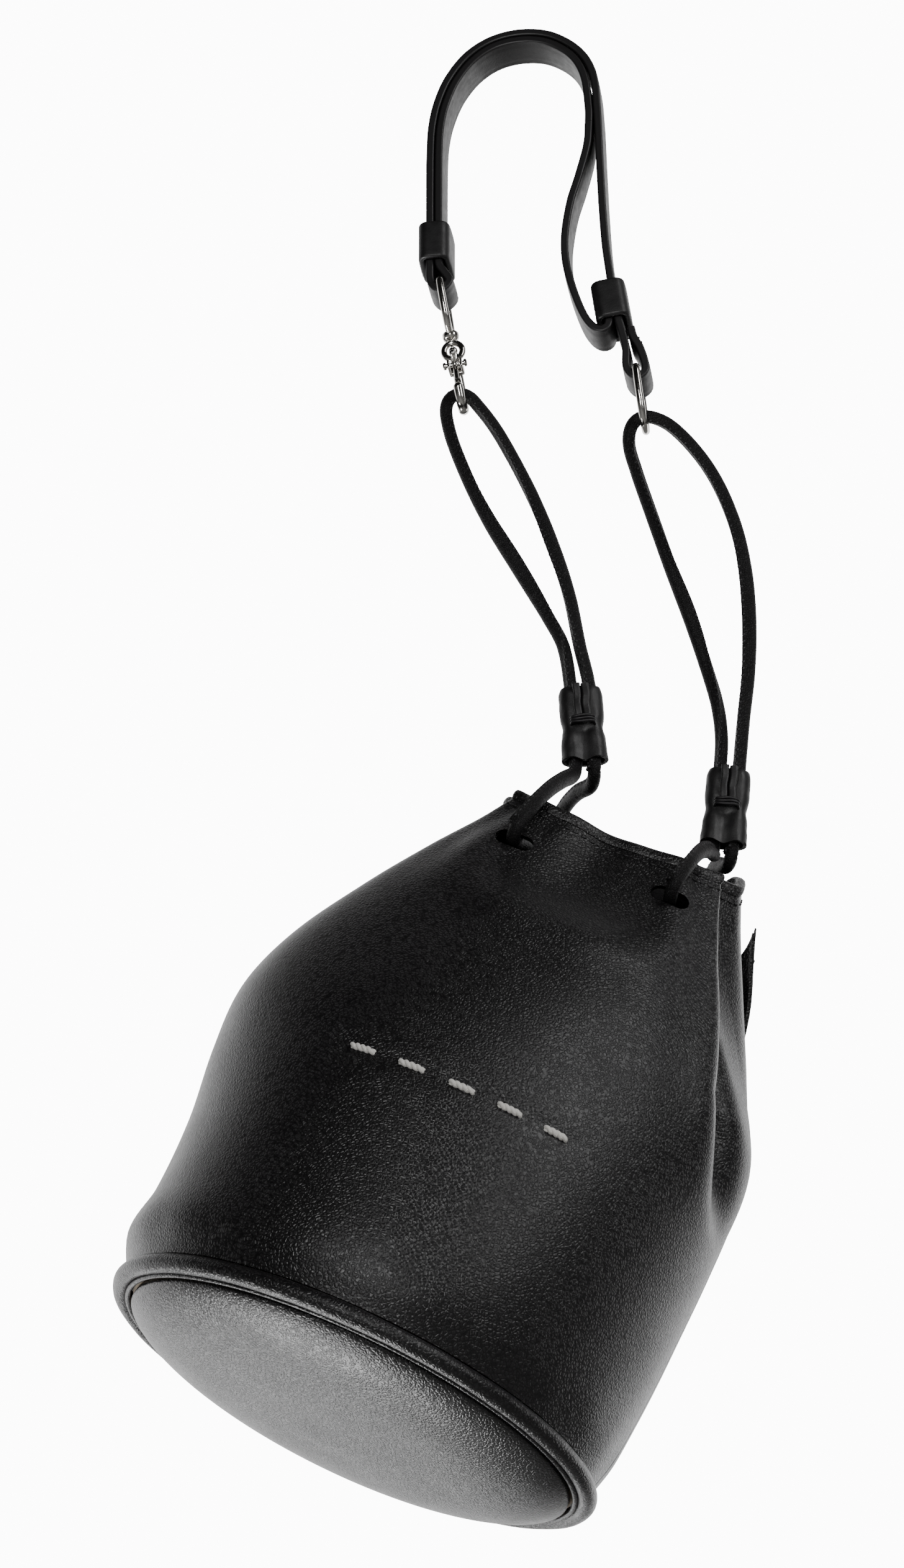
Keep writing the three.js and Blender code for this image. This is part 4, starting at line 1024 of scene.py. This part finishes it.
def paint_edges(obj, axis, share=0.6):
    """Paints the faces of a strip that look along its width."""
    obj.data.materials.append(edge_paint)
    axis = Vector(axis).normalized()
    for polygon in obj.data.polygons:
        polygon.material_index = 1 if abs(polygon.normal.dot(axis)) > share else 0


strap_section = []
for y, z in rounded_loop(2 * STRAP_HALF_WIDTH, 2 * STRAP_HALF_THICKNESS, 0.55, 5, 10)[0]:
    # crowned faces, and a pressed line 1.5 mm in from each edge
    pressed = 0.11 * math.exp(-(((abs(y) - 4.5) / 0.28) ** 2)) if abs(z) > 1 else 0
    crowned = z * (1 + 0.06 * (1 - (y / STRAP_HALF_WIDTH) ** 2))
    strap_section.append((y, crowned - math.copysign(pressed, z)))
width_axis = strap_place((0, 1, 0)) - strap_place((0, 0, 0))


def strip_part(route, step=0.8):
    line = evenly(smooth_line(route, 14, power=0.0), step)
    line = strap_place(np.column_stack([line[:, 0], np.zeros(len(line)), line[:, 1]]))
    return swept_part(line, np.array(strap_section) * MM, width_axis)


strap = build("hand_strap", [strip_part(STRAP_LINE)], smooth_leather, 60)
paint_edges(strap, width_axis)
stand_for(strap, "strap", ["strap"])
tail = build("hand_strap_tail", [strip_part(TAIL_LINE)], smooth_leather, 60)
paint_edges(tail, width_axis)
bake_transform(tail)
stand_for(tail, None, ["strap_tail"])

# Two rows of stitches close the fold on the right ring
fold_rows = [strap_place([(34.85 - 0.77 * k, y, -107.1 + 1.63 * k) for y in np.linspace(-4.6, 4.6,
                                                                                        8)]) for k in (0,
                                                                                                       1)]
fold_seam = stitched("fold_stitches", fold_rows, 0.0015, 0.0012, 0.0006, thread)
stand_for(fold_seam, "strap", [])

# ---------------------------------------------------------------- keeper and adjuster
# Two bands of painted calf, each butted and sewn at its side. The keeper holds the doubled
# strap together over the swivel eye; the adjuster holds the tail's end on the outer strand.

BAND_WALL, BAND_DEPTH, BAND_HALF = 1.8, 12.9, 6.2
LAYERS = 4 * STRAP_HALF_THICKNESS + 0.3
band_section, _ = rounded_loop(BAND_WALL, 2 * BAND_HALF, 0.7, 6, 6)
for name, node, body, centre, lean, room in (
        ("strap_band", "strap_keeper", "keeper", (-26, 0, -68.2), 0, 0.7),
        ("adjuster_band", "adjuster_sleeve", "adjuster", (26.05, 0, -92.8), -8, 1.4)):
    loop, normals = rounded_loop(LAYERS + room + BAND_WALL, BAND_DEPTH + BAND_WALL, 2.0, 9, 12)
    grid = np.array([[(*(point + normal * t), z) for t, z in band_section] for point,
                     normal in zip(loop, normals)])
    # the long faces bow out a little over the strap's crown
    grid[..., 0] *= 1 + 0.05 * np.cos(np.clip(grid[..., 1] / (BAND_DEPTH / 2), -1, 1) * math.pi / 2)
    band = build(name, [grid_part(strap_place(turned_about_y(grid, lean) + np.array(centre)), True, True)],
                 smooth_leather, 60)
    band_axis = strap_place(turned_about_y((0, 0, 1), lean)) - strap_place((0, 0, 0))
    paint_edges(band, band_axis)
    stand_for(band, body, [node])
    seam_x = LAYERS / 2 + room / 2 + BAND_WALL + 0.12
    seam_rows = [strap_place(turned_about_y([(-seam_x, 2.0 + dy, z) for z in np.linspace(-4.8, 4.8, 7)],
                                            lean)
                             + np.array(centre)) for dy in (0, 2.2)]
    band_seam = stitched(name + "_stitches", seam_rows, 0.0018, 0.0014, 0.0006, thread)
    stand_for(band_seam, body, [])

# ---------------------------------------------------------------- swivel snap and rings
# Cast zinc, polished and plated with nickel: an oval ring with a boss, stem and riveted
# ball, the snap hook that turns on the ball, its pinned and sprung gate, and a plain ring.

EYE_DROP, RIGHT_DROP, RING_HALF = 15.4, 17.1, 7.9
CAGE_CENTRE = -21.2
GATE_PIVOT = (-2.6, -27.4)
HOOK_LINE = [(0, 0.6, -24.6), (0, 2.9, -26.6), (0, 4.6, -30), (0, 4.9, -34.4), (0, 3.8, -38.9),
             (0, 0.3, -41.1),
             (0, -3.1, -39.9), (0, -4.8, -36.4)]
nickel, tree, shader = principled("polished nickel", "#d9d6d1", 0.13, Metallic=1.0)
place = add_node(tree, "ShaderNodeTexCoord")
rubbed = add_node(tree, "ShaderNodeTexNoise", {"Scale": 700.0, "Detail": 4.0},
                  {"Vector": place.outputs["Object"]})
haze = add_node(tree, "ShaderNodeMapRange",
                {"From Min": 0.3, "From Max": 0.7, "To Min": 0.09, "To Max": 0.2},
                {"Value": rubbed.outputs[0]})
tree.links.new(haze.outputs[0], shader.inputs["Roughness"])


def snap_place(points, tilt=LEFT_TILT, fold=LEFT_FOLD):
    return strap_place(turned_about_y(points, tilt) + np.array((fold[0], 0, fold[1])))


def ring_place(points):
    return snap_place(points, RIGHT_TILT, RIGHT_FOLD)


def wire_part(points, radius, to_place, closed=False, sides=20, per_span=8):
    line = to_place(smooth_line(points, per_span, closed))
    return swept_part(line, circle(radius * MM, sides), width_axis if not closed else (1, 0.1, 0), closed)


def oval_ring(drop, to_place):
    half = [(3.4, 0), (6.1, -0.05), (7.5, -1), (RING_HALF, -3.2), (7.4, -drop * 0.55), (5.6, -drop * 0.83),
            (2.9, -drop * 0.97)]
    outline = half + [(0, -drop)] + [(-y, z) for y, z in reversed(half)] + [(0, 0)]
    return wire_part([(0, y, z) for y, z in outline], RING_WIRE, to_place, closed=True)


def turned_part(profile, to_place, centre=(0, 0, 0), axis="z", sides=28):
    """A turned piece: (radius, distance along the axis) points about an axis through centre."""
    grid = np.array([[(r * math.cos(a), r * math.sin(a), z) for a in np.linspace(0, 2 * math.pi, sides,
                                                                                 endpoint=False)]
                     for r, z in profile])
    if axis == "x":
        grid = grid[..., [2, 0, 1]]
    if axis == "y":
        grid = grid[..., [1, 2, 0]]
    return grid_part(to_place(grid + np.array(centre)), columns_closed=True, capped=True)


def ball_profile(radius, steps=12):
    return [(max(radius * math.sin(a), 0.02), -radius * math.cos(a)) for a in np.linspace(0.05,
                                                                                          math.pi - 0.05,
                                                                                          steps)]


def block_part(size, centre, to_place, edge=0.35):
    """A block with rounded edges."""
    loop, normals = rounded_loop(size[0], size[1], min(edge, size[0] / 2 - 0.01), 5, 2)
    rows = []
    for t in np.linspace(0, 1, 5):
        rows.append((edge * (1 - math.sin(t * math.pi / 2)),
                     -size[2] / 2 + edge * (1 - math.cos(t * math.pi / 2))))
    rows += [(inset, -z) for inset, z in reversed(rows)]
    grid = np.array([[(*(point - normal * inset), z) for point, normal in zip(loop, normals)] for inset,
                     z in rows])
    return grid_part(to_place(grid + np.array(centre)), columns_closed=True, capped=True)


boss = [(1.0, -14.9), (2.0, -15.0), (2.4, -15.4), (2.45, -16.2), (2.3, -17.0), (1.6, -17.3), (0.7, -17.5),
        (0.45, -17.9),
        (0.45, -20.2)]
ball = [(r, z + CAGE_CENTRE) for r, z in reversed(ball_profile(1.35))]
eye = build("swivel_ring",
            [oval_ring(EYE_DROP, snap_place), turned_part(boss, snap_place), turned_part(ball, snap_place)],
            nickel, 60)
stand_for(eye, "eye", ["swivel_eye"])

cage = [(2.75 * math.cos(a), 0, 2.75 * math.sin(a) + CAGE_CENTRE) for a in np.linspace(0, 2 * math.pi, 24,
                                                                                       endpoint=False)]
cage_line = snap_place(cage)
hook = build("snap_body", [
    swept_part(cage_line, circle(0.95 * MM, 16), width_axis, closed=True),
    turned_part([(0.5, 1.25), (1.35, 1.2), (1.5, 0.6), (1.2, 0.1), (1.25, -0.8)], snap_place,
                (0, 0, -24.4 + 0.6)),
    block_part((2.4, 2.6, 3.0), (0, 0.7, -25.6), snap_place, 0.6),
    *[block_part((0.8, 5.2, 2.8), (x, -1.4, GATE_PIVOT[1]), snap_place, 0.3) for x in (-1.85, 1.85)],
    block_part((4.5, 1.6, 2.8), (0, 1.2, GATE_PIVOT[1]), snap_place, 0.5),
    wire_part(HOOK_LINE, 1.45, snap_place, sides=22),
    turned_part([(r, z) for r, z in ball_profile(1.45)], snap_place, (0, -4.8, -36.4)),
], nickel, 60)
stand_for(hook, "snap", ["snap_hook"])

pin_at = (0, *GATE_PIVOT)
pin_profile = [(0.5, -3.6), (1.0, -3.5), (1.15, -3.1), (1.1, -2.7), (0.7, -2.6), (0.7, 2.6), (1.1, 2.7),
               (1.15, 3.1),
               (1.0, 3.5), (0.5, 3.6)]
pin = build("hinge_pin", [turned_part(pin_profile, snap_place, pin_at, "x")], nickel, 40)
stand_for(pin, "snap", ["gate_pin"])

gate_eye = np.array([[(x, r * math.cos(a) + GATE_PIVOT[0], r * math.sin(a) + GATE_PIVOT[1])
                      for x,
                      r in ((-0.75, 1.2), (-0.6, 1.35), (0.6, 1.35), (0.75, 1.2), (0.75, 0.8),
                            (-0.75, 0.8))]
                     for a in np.linspace(0, 2 * math.pi, 28, endpoint=False)])
gate = build("gate", [
    grid_part(snap_place(gate_eye), True, True),
    wire_part([(0, -3.0, -28.2), (0, -3.9, -30.4), (0, -4.5, -33.6)], 0.7, snap_place, sides=14),
    wire_part([(0, -3.2, -27), (0, -4.4, -25.9), (0, -5.4, -25.3)], 0.6, snap_place, sides=14),
    turned_part(ball_profile(1.05), snap_place, (0, -5.6, -25.2)),
], nickel, 60)
stand_for(gate, "gate", ["snap_gate"])

coil = [(0.86 + 0.46 * t, 1.12 * math.cos(5 * math.pi * t) + GATE_PIVOT[0],
         1.12 * math.sin(5 * math.pi * t) + GATE_PIVOT[1])
        for t in np.linspace(0, 1, 60)]
coil_line = snap_place(coil)
spring = build("torsion_spring",
               [swept_part(coil_line, circle(0.1 * MM, 8), carried_side(coil_line, width_axis))],
               nickel, 80)
stand_for(spring, "snap", ["gate_spring"])

plain_ring = build("plain_ring", [oval_ring(RIGHT_DROP, ring_place)], nickel, 80)
stand_for(plain_ring, "ring", ["ring_right"])
